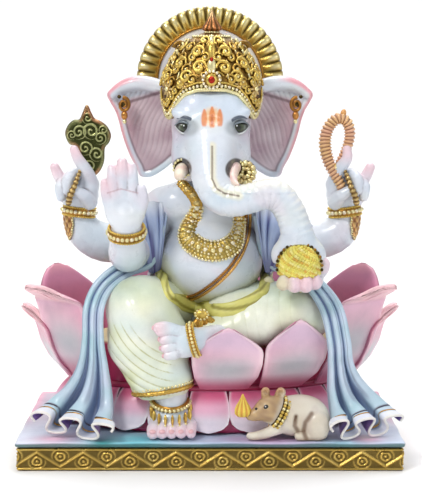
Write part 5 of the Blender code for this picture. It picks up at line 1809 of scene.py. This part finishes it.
def make_seat():
    """The seed pod under the figure, the magenta waist and the ring of petals that turn down below it."""
    pile = Pile()
    profile = ((1, 112), (60, 112), (110, 112), (122, 111.4), (126, 109.5),
               (129, 104), (134, 92), (136, 84), (138, 76),
               (137, 73), (133, 70), (134, 67), (141, 62), (146, 52), (150, 40), (152, 29.4), (1, 29.4))
    spread = [profile[0]]
    for a, b in zip(profile, profile[1:]):
        for t in (1 / 3, 2 / 3, 1):
            spread.append((a[0] + (b[0] - a[0]) * t, a[1] + (b[1] - a[1]) * t))

    def tone(points, wave, level):
        colour = mix(rgb(196, 72, 112), MAGENTA, 0.5 + 0.5 * cloud(points, 40, 77))
        colour = mix(colour, rgb(140, 24, 62), 0.8 * np.exp(-((level - 70) / 3.5) ** 2))
        return mix(colour, rgb(214, 206, 150), step_up(level, 108.5, 111.5))

    add_turned(pile, spread, (0, LOTUS_Y, 0), tone, lobes=64, depth=0.004, steps=256, squash=LOTUS_SQUASH)
    ring = np.linspace(0, 2 * math.pi, 61)[:-1]
    add_sweep(pile, [(138.5 * math.sin(a), LOTUS_Y - LOTUS_SQUASH * 138.5 * math.cos(a), 71.5, 3.0)
                     for a in ring], plain,
              rgb(164, 36, 78), 10, 240, closed=True, face=(0, 0, 1))
    put("lotus_seat", pile, ENAMEL, "lotus_magenta", "lotus_core")
    lower = Pile()
    rows, columns = 30, 22
    u, v = sheet_places(rows, columns)
    for k in range(24):
        angle = 14.5 + 15 * k
        width = np.interp(v, (0, 0.3, 0.6, 0.8, 0.92, 1), (0.94, 1.02, 1.02, 0.92, 0.66, 0.10))
        turn = np.radians(angle + 7.3 * width * u)
        radius = 140 + 21 * v ** 0.8 + 4.5 * (1 - u * u) * np.sin(math.pi * v ** 0.9) + 3 * step_up(v, 0.8, 1)
        points = np.stack((radius * np.sin(turn), LOTUS_Y - LOTUS_SQUASH * radius * np.cos(turn),
                           68 - 37.5 * v + 0 * u), axis=-1)
        flat = points.reshape(-1, 3)
        run = (v + 0 * u).ravel()
        colour = mix(rgb(206, 84, 128), rgb(232, 176, 202), step_up(run, 0.08, 0.42))
        colour = mix(colour, rgb(232, 222, 234), step_up(run, 0.4, 0.75))
        colour = mix(colour, rgb(246, 240, 246), 0.6 * step_up(np.abs(u + 0 * v).ravel(), 0.85, 1))
        add_sheet(lower, points, 3.0, colour, outward=points * (1, 1, 0))
    put("lotus_lower_petals", lower, ENAMEL, "lotus_pink")


# ---------------------------------------------------------------- plinth

def patch(dx, dy, wide, deep):
    """A soft round patch of paint, 1 at its middle."""
    return np.exp(-((dx / wide) ** 2 + (dy / deep) ** 2))


def make_slab():
    """The painted top of the plinth, rounded at its edges and faintly dished by the chisel."""
    def field(p):
        waves = 0.25 * np.sin(p[:, 0] / 13) * np.sin(p[:, 1] / 9 + 1)
        return box_gap(p, (-184.8, -114.8, 22.7), (184.8, 114.8, 28.0), 2.2) - waves * (p[:, 2] > 26)

    def paint(p, n, hollow):
        colour = mix(rgb(178, 204, 232), rgb(222, 222, 236), 0.5 + 0.5 * cloud(p, 80, 61))
        x, y = p[:, 0], p[:, 1]
        colour = mix(colour, rgb(96, 206, 222), 0.95 * patch(x + 72, y + 104, 34, 26))
        colour = mix(colour, rgb(40, 150, 150), 0.9 * patch(x + 102, y + 112, 13, 14))
        colour = mix(colour, rgb(130, 200, 214), 0.8 * patch(x - 128, y + 106, 30, 22))
        mauve = step_up(np.abs(x), 110, 165) * step_up(y, -95, 10)
        colour = mix(colour, rgb(170, 146, 166), 0.85 * mauve)
        colour = mix(colour, rgb(240, 164, 196), 0.8 * patch(np.abs(x) - 150, y + 100, 16, 14))
        colour = mix(colour, rgb(206, 158, 206), 0.8 * patch(x - 60, y + 104, 46, 16))
        edge = np.maximum(np.abs(x) - 174, y - 100)
        colour = mix(colour, rgb(236, 150, 176), 0.6 * step_up(edge, 0, 9) * step_up(y, -60, 20))
        side = step_up(-n[:, 2] + 0.62, 0.0, 0.35)
        return mix(colour, TEAL, 0.85 * side * (y < -111))

    pile = carved(field, paint, (-187, -117, 20), (187, 117, 31), 1.3, rounds=1)
    put("slab_painted", pile, ENAMEL, "slab_blue", "base_slab")


def make_frieze():
    """The gilt frieze: a zigzag of raised ribs with a scroll in each triangle, along all four sides."""
    half_w, half_d, corner, top = 184.2, 114.2, 3.0, 22.0
    corners = ((-1, -1), (1, -1), (1, 1), (-1, 1))
    path = []
    for k, (sx, sy) in enumerate(corners):
        cx, cy = sx * (half_w - corner), sy * (half_d - corner)
        start = (math.pi, 1.5 * math.pi, 0, 0.5 * math.pi)[k]
        for a in np.linspace(start, start + math.pi / 2, 8):
            path.append((cx + corner * math.cos(a), cy + corner * math.sin(a)))
    path = spaced(np.array(path), 0.85, closed=True)
    ends = np.vstack((path, path[:1]))
    run = run_along(ends)
    total, s = run[-1], run[:-1][None, :]
    way = np.roll(path, -1, axis=0) - np.roll(path, 1, axis=0)
    way = unit(way)
    out = np.stack((way[:, 1], -way[:, 0]), axis=1)
    count = round(total / 44.0)
    pitch = total / count
    z = np.concatenate(([0.3], np.linspace(0.8, 21.6, 34), [top]))[:, None]
    phase = (s / pitch) % 1.0
    zig = 4.0 + 14.0 * (1 - np.abs(2 * phase - 1))
    slope = math.hypot(1, 28.0 / pitch)
    rib = np.exp(-(((z - zig) / slope) / 1.25) ** 2)
    height = 1.9 * rib
    tone = rib.copy()
    for offset, level, hand in ((0.5, 8.0, 1), (0.0, 14.6, -1)):
        dx = ((s / pitch - offset + 0.5) % 1.0 - 0.5) * pitch
        dz = (z - level) * hand
        r = np.hypot(dx * 0.86, dz)
        angle = np.arctan2(dz, np.abs(dx))
        curl = np.cos(r * 1.75 - 1.6 * angle)
        mask = 1 - step_up(r, 5.6, 8.2)
        height = height + 1.3 * mask * step_up(curl, -0.3, 0.6) * (1 - rib)
        tone = np.maximum(tone, mask * step_up(curl, -0.2, 0.7))
    for level in (1.8, 20.4):
        bar = np.exp(-((z - level) / 0.8) ** 2) + 0 * s
        height = np.maximum(height, 1.6 * bar)
        tone = np.maximum(tone, bar)
    stand = np.where((z < 0.5) | (z > 21.9), -2.0, -1.9 + height)
    points = np.stack((path[None, :, 0] + out[None, :, 0] * stand, path[None, :, 1] + out[None, :, 1] * stand,
                       z + 0 * s), axis=-1)
    inner = np.stack((path[:, 0] - 8 * out[:, 0], path[:, 1] - 8 * out[:, 1], 0.3 + 0 * path[:, 0]), axis=1)
    lid = inner.copy()
    lid[:, 2] = top
    grid = np.concatenate((inner[None], points, lid[None]))
    tones = np.vstack((tone[:1], tone, tone[-1:])).ravel()
    flat = grid.reshape(-1, 3)
    colour = mix(GOLD_DARK, mix(GOLD, GOLD_DEEP, 0.3), 0.15 + 0.85 * tones)
    colour = mix(colour, rgb(222, 196, 116), 0.5 * step_up(cloud(flat, 26, 71), 0, 0.9) * tones)
    pile = Pile()
    pile.add(flat, grid_faces(grid.shape[0], grid.shape[1], loop_rows=True, loop_columns=True), colour)
    put("frieze_relief", pile, LEAF, "gold_leaf", "gilded_frieze")


# ---------------------------------------------------------------- what the hands hold

AXE = ((-119, 270), (-110, 277), (-105, 287), (-104, 300), (-99, 306),
       (-97, 313), (-101, 321), (-108, 326), (-115, 329),
       (-119, 335), (-123, 342), (-127, 335), (-131, 328), (-138, 327),
       (-144, 322), (-147, 314), (-143, 305), (-137, 303),
       (-133, 298), (-132, 286), (-130, 276))
AXE_CURLS = ((-118, 317, 8.5, 1), (-132, 316, 7.5, -1), (-108, 310, 6.5, -1),
             (-122, 330, 6, 1), (-112, 294, 7.5, 1),
             (-125, 300, 7.5, -1), (-120, 282, 6.5, 1), (-104, 318, 5, 1), (-140, 313, 5, 1))


# The blade's narrowing about its middle line.
AXE_WAIST, AXE_MIDDLE = 0.88, -122
HELD_STEM = ((128, -8, 281, 1.4), (131, -14, 273, 2.2), (134, -18, 264, 2.7), (138.5, -17.5, 254, 3.2),
             (141, -13, 245, 3.0))


def held_stem(side, shift):
    """The turned stem that shows in front of a rear palm, between the fingers."""
    def wave(s):
        return np.cos(s * 2 * math.pi / 4.4)

    def tint(s, t, points):
        return mix(rgb(128, 98, 54), rgb(206, 178, 118), step_up(wave(s), -0.9, 0.9))

    pile = Pile()
    stations = [(side * (x + shift), y, z, r) for x, y, z, r in HELD_STEM]
    add_sweep(pile, stations, lambda s, t: (1 + 0.12 * wave(s),) * 2, tint, 14, 160)
    return pile


def make_axe():
    outline = spline([*AXE, AXE[0]], 130)[:-1]
    outline = outline * (AXE_WAIST, 1) + ((1 - AXE_WAIST) * AXE_MIDDLE, 0)

    def pattern(p):
        value = np.full(len(p), -1.0)
        for x, z, size, hand in AXE_CURLS:
            x = AXE_MIDDLE + AXE_WAIST * (x - AXE_MIDDLE)
            r = np.hypot(p[:, 0] - x, p[:, 2] - z)
            angle = np.arctan2(p[:, 2] - z, hand * (p[:, 0] - x))
            value = np.maximum(value, np.where(r < size, np.cos(r * 2 * math.pi / (0.62 * size) - angle), -1))
        return value

    def field(p):
        gap = outline_gap(p[:, ::2], outline)
        thick = 3.0 + 1.5 * step_up(pattern(p), -0.2, 0.6) - 0.9 * step_up(gap, -3.4, -2.2) * (gap < -0.9)
        blade = np.maximum(np.abs(p[:, 1] - 4) - thick, gap + 0.4)
        stem = limb(p, ((-121, 4, 276, 4.5), (-128, 3, 262, 4.6), (-136, 2, 246, 5.2), (-140, 3, 236, 5.0)))
        rim = np.hypot(gap + 1.2, p[:, 1] - 4) - 2.2
        return join(join(blade, rim, 1.0), stem, 3)

    def paint(p, n, hollow):
        raised = step_up(pattern(p), -0.1, 0.6)
        edge = 1 - step_up(-outline_gap(p[:, ::2], outline), 1.6, 3.0)
        colour = mix(rgb(62, 66, 30), rgb(176, 180, 122), np.maximum(raised, 0.4 * edge))
        colour = mix(colour, rgb(176, 112, 80), 0.7 * edge * step_up(cloud(p, 24, 17), -0.4, 0.5))
        # Painted highlight: pale gold on the ridges.
        return mix(colour, GOLD_PALE, 0.5 * step_up(-hollow, 0.08, 0.3))

    pile = carved(field, paint, (-152, -6, 228), (-92, 14, 348), 0.62, rounds=1)
    put("axe_relief", pile, LEAF, "gold_leaf", "axe")
    beads = Pile()
    for k in range(9):
        a = 2 * math.pi * k / 9
        add_blob(beads, (-124 + 5.5 * math.cos(a), -0.5 + 2.5 * math.sin(a), 271 - 3 * math.cos(a)),
                 (1.5, 1.5, 1.5), GOLD_PALE)
    put("axe_beads", beads, LEAF, "gold_leaf")
    put("axe_handle", held_stem(-1, 0), LEAF, "gold_leaf")
    put("noose_tail", held_stem(1, 5), LEAF, "gold_leaf")


NOOSE = ((133, -7, 254, 4.4), (130, -9, 264, 4.8), (124, -8, 275, 5.2),
         (118.5, -6, 286, 5.6), (115, -5, 299, 5.9),
         (115, -4, 312, 5.8), (119.5, -4, 323, 5.6), (127.5, -4, 329.5, 5.4), (135.5, -4, 326.5, 5.3),
         (139, -4, 317, 5.2), (138, -4, 306, 5.0), (134, -4, 295, 4.6),
         (129.5, -4, 286, 4.0), (127, -5, 280, 3.0))


def make_noose():
    """The rope that the left hand holds, carved with rings along it."""
    def rings(s, t):
        wave = 1 + 0.13 * np.cos(s * 2 * math.pi / 3.6 + t)
        return wave, wave

    def tone(s, t, points):
        wave = np.cos(s * 2 * math.pi / 3.6 + t)
        return mix(mix(rgb(222, 170, 140), GOLD, 0.3 + 0.3 * cloud(points, 20, 81)),
                   rgb(128, 76, 56), 0.8 * step_up(-wave, 0.1, 0.9))

    pile = Pile()
    add_sweep(pile, NOOSE, rings, tone, 16, 420)
    add_blob(pile, (125, -6, 281), (6.4, 5.4, 4.4), GOLD)
    add_blob(pile, (132.5, -4, 334.5), (3.0, 2.8, 4.6), mix(COPPER, GOLD, 0.3), (0.2, 0, 1))
    for k in range(8):
        a = 2 * math.pi * k / 8
        add_bead(pile, (125 + 6.4 * math.cos(a), -6 + 5.4 * math.sin(a), 281), 1.2, GOLD_PALE)
    put("noose_rope", pile, ENAMEL, "copper_gold", "noose")


# The foot of the heap of sweets, how many grains it shows and the turn from one grain to the next.
SWEETS, GRAINS, GOLDEN_TURN = (84, -97, 178), 520, 2.39996


def make_sweets():
    """A mound of small fried grains in the palm, and the pointed sweet before the mouse."""
    pile = Pile()
    profile = ((0.5, 36), (7, 34.6), (12.5, 31), (17, 25), (19.4, 16.5), (19, 8), (15, 1), (0.5, 0))
    x, y, base = SWEETS
    add_turned(pile, profile[::-1], SWEETS, rgb(206, 168, 60), steps=48)
    rng = np.random.default_rng(5)
    rows = np.array(profile[:6])
    run = run_along(rows)
    for k in range(GRAINS):
        share = math.sqrt((k + 0.5) / GRAINS)
        r = float(np.interp(share * run[-1], run, rows[:, 0]))
        z = float(np.interp(share * run[-1], run, rows[:, 1]))
        turn = k * GOLDEN_TURN
        size = 1.55 + 0.45 * rng.random()
        tone = mix(SWEET, (rgb(250, 240, 170), rgb(214, 150, 50), rgb(240, 226, 120))[k % 3],
                   0.75 * rng.random())
        add_bead(pile, (x + r * math.cos(turn), y + r * math.sin(turn), base + 0.5 + z), size, tone)
    put("laddoo_grains", pile, MATT, "laddoo_yellow", "laddoo_heap")
    rim = Pile()
    for k in range(19):
        a = math.radians(-8 + 196 * k / 18)
        place = (x + 21.2 * math.cos(a), y - 6 + math.sin(a), base + 16 + 21.8 * math.sin(a))
        add_blob(rim, place, (1.6, 1.6, 1.6), mix(GOLD_DARK, GOLD_DEEP, 0.6 * (k % 2)))
    put("sweet_rim_beads", rim, LEAF, "gold_leaf")
    drop = Pile()
    profile = ((0.6, 22), (1.6, 19.5), (3.4, 15.5), (6.0, 11), (7.6, 7), (7.6, 3.5), (5.2, 0.6), (0.6, 0))

    def tone_of(points, wave, level):
        return mix(rgb(240, 216, 90), rgb(214, 150, 60), 0.5 - 0.5 * wave)

    add_turned(drop, profile[::-1], (31, -107, 51), tone_of, lobes=9, depth=0.07, steps=72)
    put("mouse_modak", drop, MATT, "laddoo_yellow", "mouse_sweet")


# ---------------------------------------------------------------- mouse

# The cuts before the haunch and behind the shoulder.
MOUSE_CREASES = (((91, -118, 31, 1.2), (88.5, -116, 38, 1.7), (90, -115, 47, 1.6), (96, -114.5, 55, 0.9)),
                 ((83, -116, 38, 0.8), (80, -115, 44, 1.3), (81, -113, 53, 0.7)))


def mouse_skull(p):
    return ball(p, (57, -102, 58), (13, 11, 12), tilt=28)


def mouse_field(p):
    body = join(ball(p, (86, -96, 50), (27, 17, 20)), ball(p, (103, -99, 42), (12, 15, 14)), 5)
    haunch = ball(p, (101.5, -107.5, 42.5), (12, 9.5, 14.5))
    body = join(body, limb(p, ((60, -100, 55, 12.5), (74, -98, 50, 16))), 7)
    snout = limb(p, ((52, -103, 57, 9), (43, -106, 53, 6.2), (38, -107, 51.5, 4)))
    head = join(mouse_skull(p), snout, 5)
    ears = fingers(p, (((65, -95, 66, 4.6), (67.5, -95, 72, 4.8)),
                       ((53, -95, 68, 4.2), (53, -95, 73, 4.2))), 0.5)
    for x, z in ((67, 72), (52.6, 73)):
        ears = carve(ears, ball(p, (x, -99.3, z), (2.8, 2.4, 3.2)), 1)
    shape = join(join(body, head, 3), ears, 2)
    shape = join(shape, haunch, 0.8)
    shape = join(shape, ball(p, (74, -104, 46), (8, 8.5, 12), tilt=20), 0.9)
    fore = limb(p, ((70, -103, 42, 7), (56, -107, 36, 5), (44, -108, 33, 4.2), (38, -108, 32.6, 3.6)))
    hind = limb(p, ((106, -104, 34, 6), (94, -108, 33, 4.8), (84, -109, 32.6, 4)))
    far = limb(p, ((70, -92, 40, 6), (54, -94, 33.5, 4.4)))
    tail = limb(p, ((112, -92, 38, 3.4), (113, -84, 34, 2.8), (104, -79, 32, 2.3), (92, -78, 31.5, 1.6)), 4)
    for part, soft in ((fore, 2), (hind, 1.5), (far, 3), (tail, 2)):
        shape = join(shape, part, soft)
    for crease in MOUSE_CREASES:
        shape = carve(shape, limb(p, crease), 1.4)
    return np.maximum(shape, ON_SLAB - p[:, 2])


def neck(p):
    """The part of the mouse that its collar goes round."""
    return join(mouse_skull(p), limb(p, ((58, -101, 56, 12), (76, -98, 49, 15.5))), 6)


def mouse_paint(p, n, hollow):
    colour = mix(rgb(204, 190, 168), rgb(228, 222, 208), 0.5 + 0.5 * cloud(p, 26, 91))
    colour = mix(colour, rgb(206, 190, 180), 0.35 * step_up(cloud(p, 18, 92), 0.2, 0.8))
    front = step_up(66 - p[:, 0] + 0.35 * (p[:, 2] - 58), -2, 6) * step_up(p[:, 2], 44, 48)
    colour = mix(colour, mix(MOUSE_BROWN, rgb(190, 154, 98), 0.5 + 0.5 * cloud(p, 9, 93)), 0.85 * front)
    colour = mix(colour, rgb(206, 164, 120), 0.6 * step_up(p[:, 2], 71, 74))
    # Painted shade: dark brown in the hollows.
    colour = mix(colour, rgb(104, 72, 44), 0.9 * step_up(hollow, 0.06, 0.3))
    # Painted shade along the cuts before the haunch and behind the shoulder.
    for crease in MOUSE_CREASES:
        gap = line_gap(p[:, ::2], [(x, z) for x, _, z, _ in crease])
        colour = mix(colour, rgb(104, 72, 46), 0.8 * (1 - step_up(gap, 0.6, 3.4)) * (p[:, 1] < -104))
    # A painted shadow low on the mouse, under its belly.
    return mix(colour, rgb(150, 110, 66), 0.5 * (1 - step_up(p[:, 2], 29, 34)))


def make_mouse():
    pile = carved(mouse_field, mouse_paint, (30, -118, 26), (120, -72, 84), 0.65, rounds=1)
    put("mouse_figure", pile, ENAMEL, "mouse_beige", "mouse_body")
    face = Pile()
    for at, size in (((53, -112.4, 61.5), 2.5), ((43.6, -110.6, 59.6), 1.3)):
        add_blob(face, at, (size, 0.9, size), INK, (0, 0, 1))
    add_blob(face, (35.2, -108.5, 52), (1.7, 1.6, 1.4), rgb(70, 40, 34))
    # A painted highlight: a small white glint on the mouse's eye.
    add_blob(face, (52.3, -113.4, 62.4), (0.6, 0.4, 0.6), rgb(240, 240, 236))
    put("mouse_eyes", face, ENAMEL, "mouse_beige")
    collar = Pile()
    way = np.array((0.88, 0.12, -0.46))
    way = way / np.linalg.norm(way)
    u = np.array((0.1351, -0.9908, 0.0))
    v = np.cross(way, u)
    loop, out = ring_on(neck, (66.5, -100, 53), u, v, 0.6, first=13)
    add_sweep(collar, with_radius(loop, 4.2, 2), flattened(0.36), GOLD_DARK,
              10, 192, face=way, closed=True)
    for offset in (-2.0, 2.0):
        row = spaced(loop + 1.5 * out + offset * way, 3.5, closed=True)
        add_beads(collar, row, 1.75, [GOLD_PALE if k % 2 else GOLD for k in range(len(row))])
    put("mouse_beads", collar, LEAF, "gold_leaf", "mouse_collar")


# ---------------------------------------------------------------- what the paint hides

def make_hidden():
    """Sawn stone for the plinth's core, and turned steel for the dowels inside the joints."""
    finishes = {"plinth_core": SAWN}
    for joint in ("lotus_to_slab", "torso_to_lotus", "head_to_torso", "crown_to_head"):
        finishes["dowel_" + joint] = STEEL
    for node, finish in finishes.items():
        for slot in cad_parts[node].material_slots:
            slot.material = finish


# ---------------------------------------------------------------- camera, floor and light

# From here on, lengths are metres.
CAMERA_AT, CAMERA_AIM = (0.0, -1.5, 0.376), (0.001, 0.0, 0.1975)
FLOOR_HALF_WIDTH, FLOOR_FRONT, BEND_START, WALL_Y, WALL_TOP = 6.0, -5.0, 2.8, 4.0, 5.0
IDOL_AIM = (0, 0, 0.2)
# Each lamp: its place, what it is aimed at, its watts, the side of its square and its colour.
LAMPS = {
    "key": ((-1.0, -1.3, 1.7), IDOL_AIM, 23.0, 0.6, (1.0, 0.98, 0.95)),
    "fill": ((1.4, -1.2, 0.9), IDOL_AIM, 6.5, 1.2, (0.93, 0.96, 1.0)),
    "top": ((0.1, 0.3, 1.8), IDOL_AIM, 14.0, 1.0, (1.0, 1.0, 1.0)),
    "wall": ((0.0, 2.6, 2.8), (0, 3.2, 0.0), 56.0, 3.0, (1.0, 1.0, 1.0)),
}


def aimed(name, data, place, target):
    """Puts a camera or lamp in the scene, looking at its target."""
    obj = bpy.data.objects.new(name, data)
    bpy.context.scene.collection.objects.link(obj)
    obj.location = place
    obj.rotation_euler = (Vector(target) - obj.location).to_track_quat("-Z", "Y").to_euler()
    return obj


def make_camera():
    camera = bpy.data.cameras.new("camera")
    camera.lens = 108.0
    camera.sensor_fit = "VERTICAL"
    camera.sensor_height = 36.0
    bpy.context.scene.camera = aimed("camera", camera, CAMERA_AT, CAMERA_AIM)


def make_floor():
    """A pale floor that bends up into a wall a long way behind the idol."""
    steps = np.linspace(0, math.pi / 2, 24)
    bend = WALL_Y - BEND_START
    curve = ((BEND_START + bend * math.sin(a), bend - bend * math.cos(a)) for a in steps)
    rows = ((FLOOR_FRONT, 0.0), (BEND_START, 0.0), *curve, (WALL_Y, WALL_TOP))
    points = np.array([(x, y, z) for y, z in rows for x in (-FLOOR_HALF_WIDTH, FLOOR_HALF_WIDTH)])
    floor_mesh = bpy.data.meshes.new("floor")
    floor_mesh.from_pydata(points.tolist(), [], grid_faces(len(rows), 2).tolist())
    floor_mesh.shade_smooth()
    floor = bpy.data.objects.new("floor", floor_mesh)
    bpy.context.scene.collection.objects.link(floor)
    pale = bpy.data.materials.new("pale_floor")
    pale.use_nodes = True
    shader = pale.node_tree.nodes["Principled BSDF"]
    shader.inputs["Base Color"].default_value = (0.94, 0.94, 0.94, 1)
    shader.inputs["Roughness"].default_value = 0.9
    floor_mesh.materials.append(pale)


def make_light():
    world = bpy.data.worlds.new("studio")
    world.use_nodes = True
    background = world.node_tree.nodes["Background"]
    background.inputs["Color"].default_value = (0.95, 0.97, 1.0, 1)
    background.inputs["Strength"].default_value = 0.46
    bpy.context.scene.world = world
    for name, (place, target, watts, size, colour) in LAMPS.items():
        data = bpy.data.lights.new(name, "AREA")
        data.energy = watts
        data.size = size
        data.color = colour
        aimed(name, data, place, target)
    bpy.context.scene.view_settings.view_transform = "Standard"


make_camera()
make_floor()
make_light()
make_body()
make_head()
make_ears()
make_crown()
make_halo()
make_legs()
make_shawl()
make_necklace()
make_thread()
make_belt()
make_bangles()
make_anklets()
make_petals()
make_seat()
make_slab()
make_frieze()
make_axe()
make_noose()
make_sweets()
make_mouse()
make_hidden()
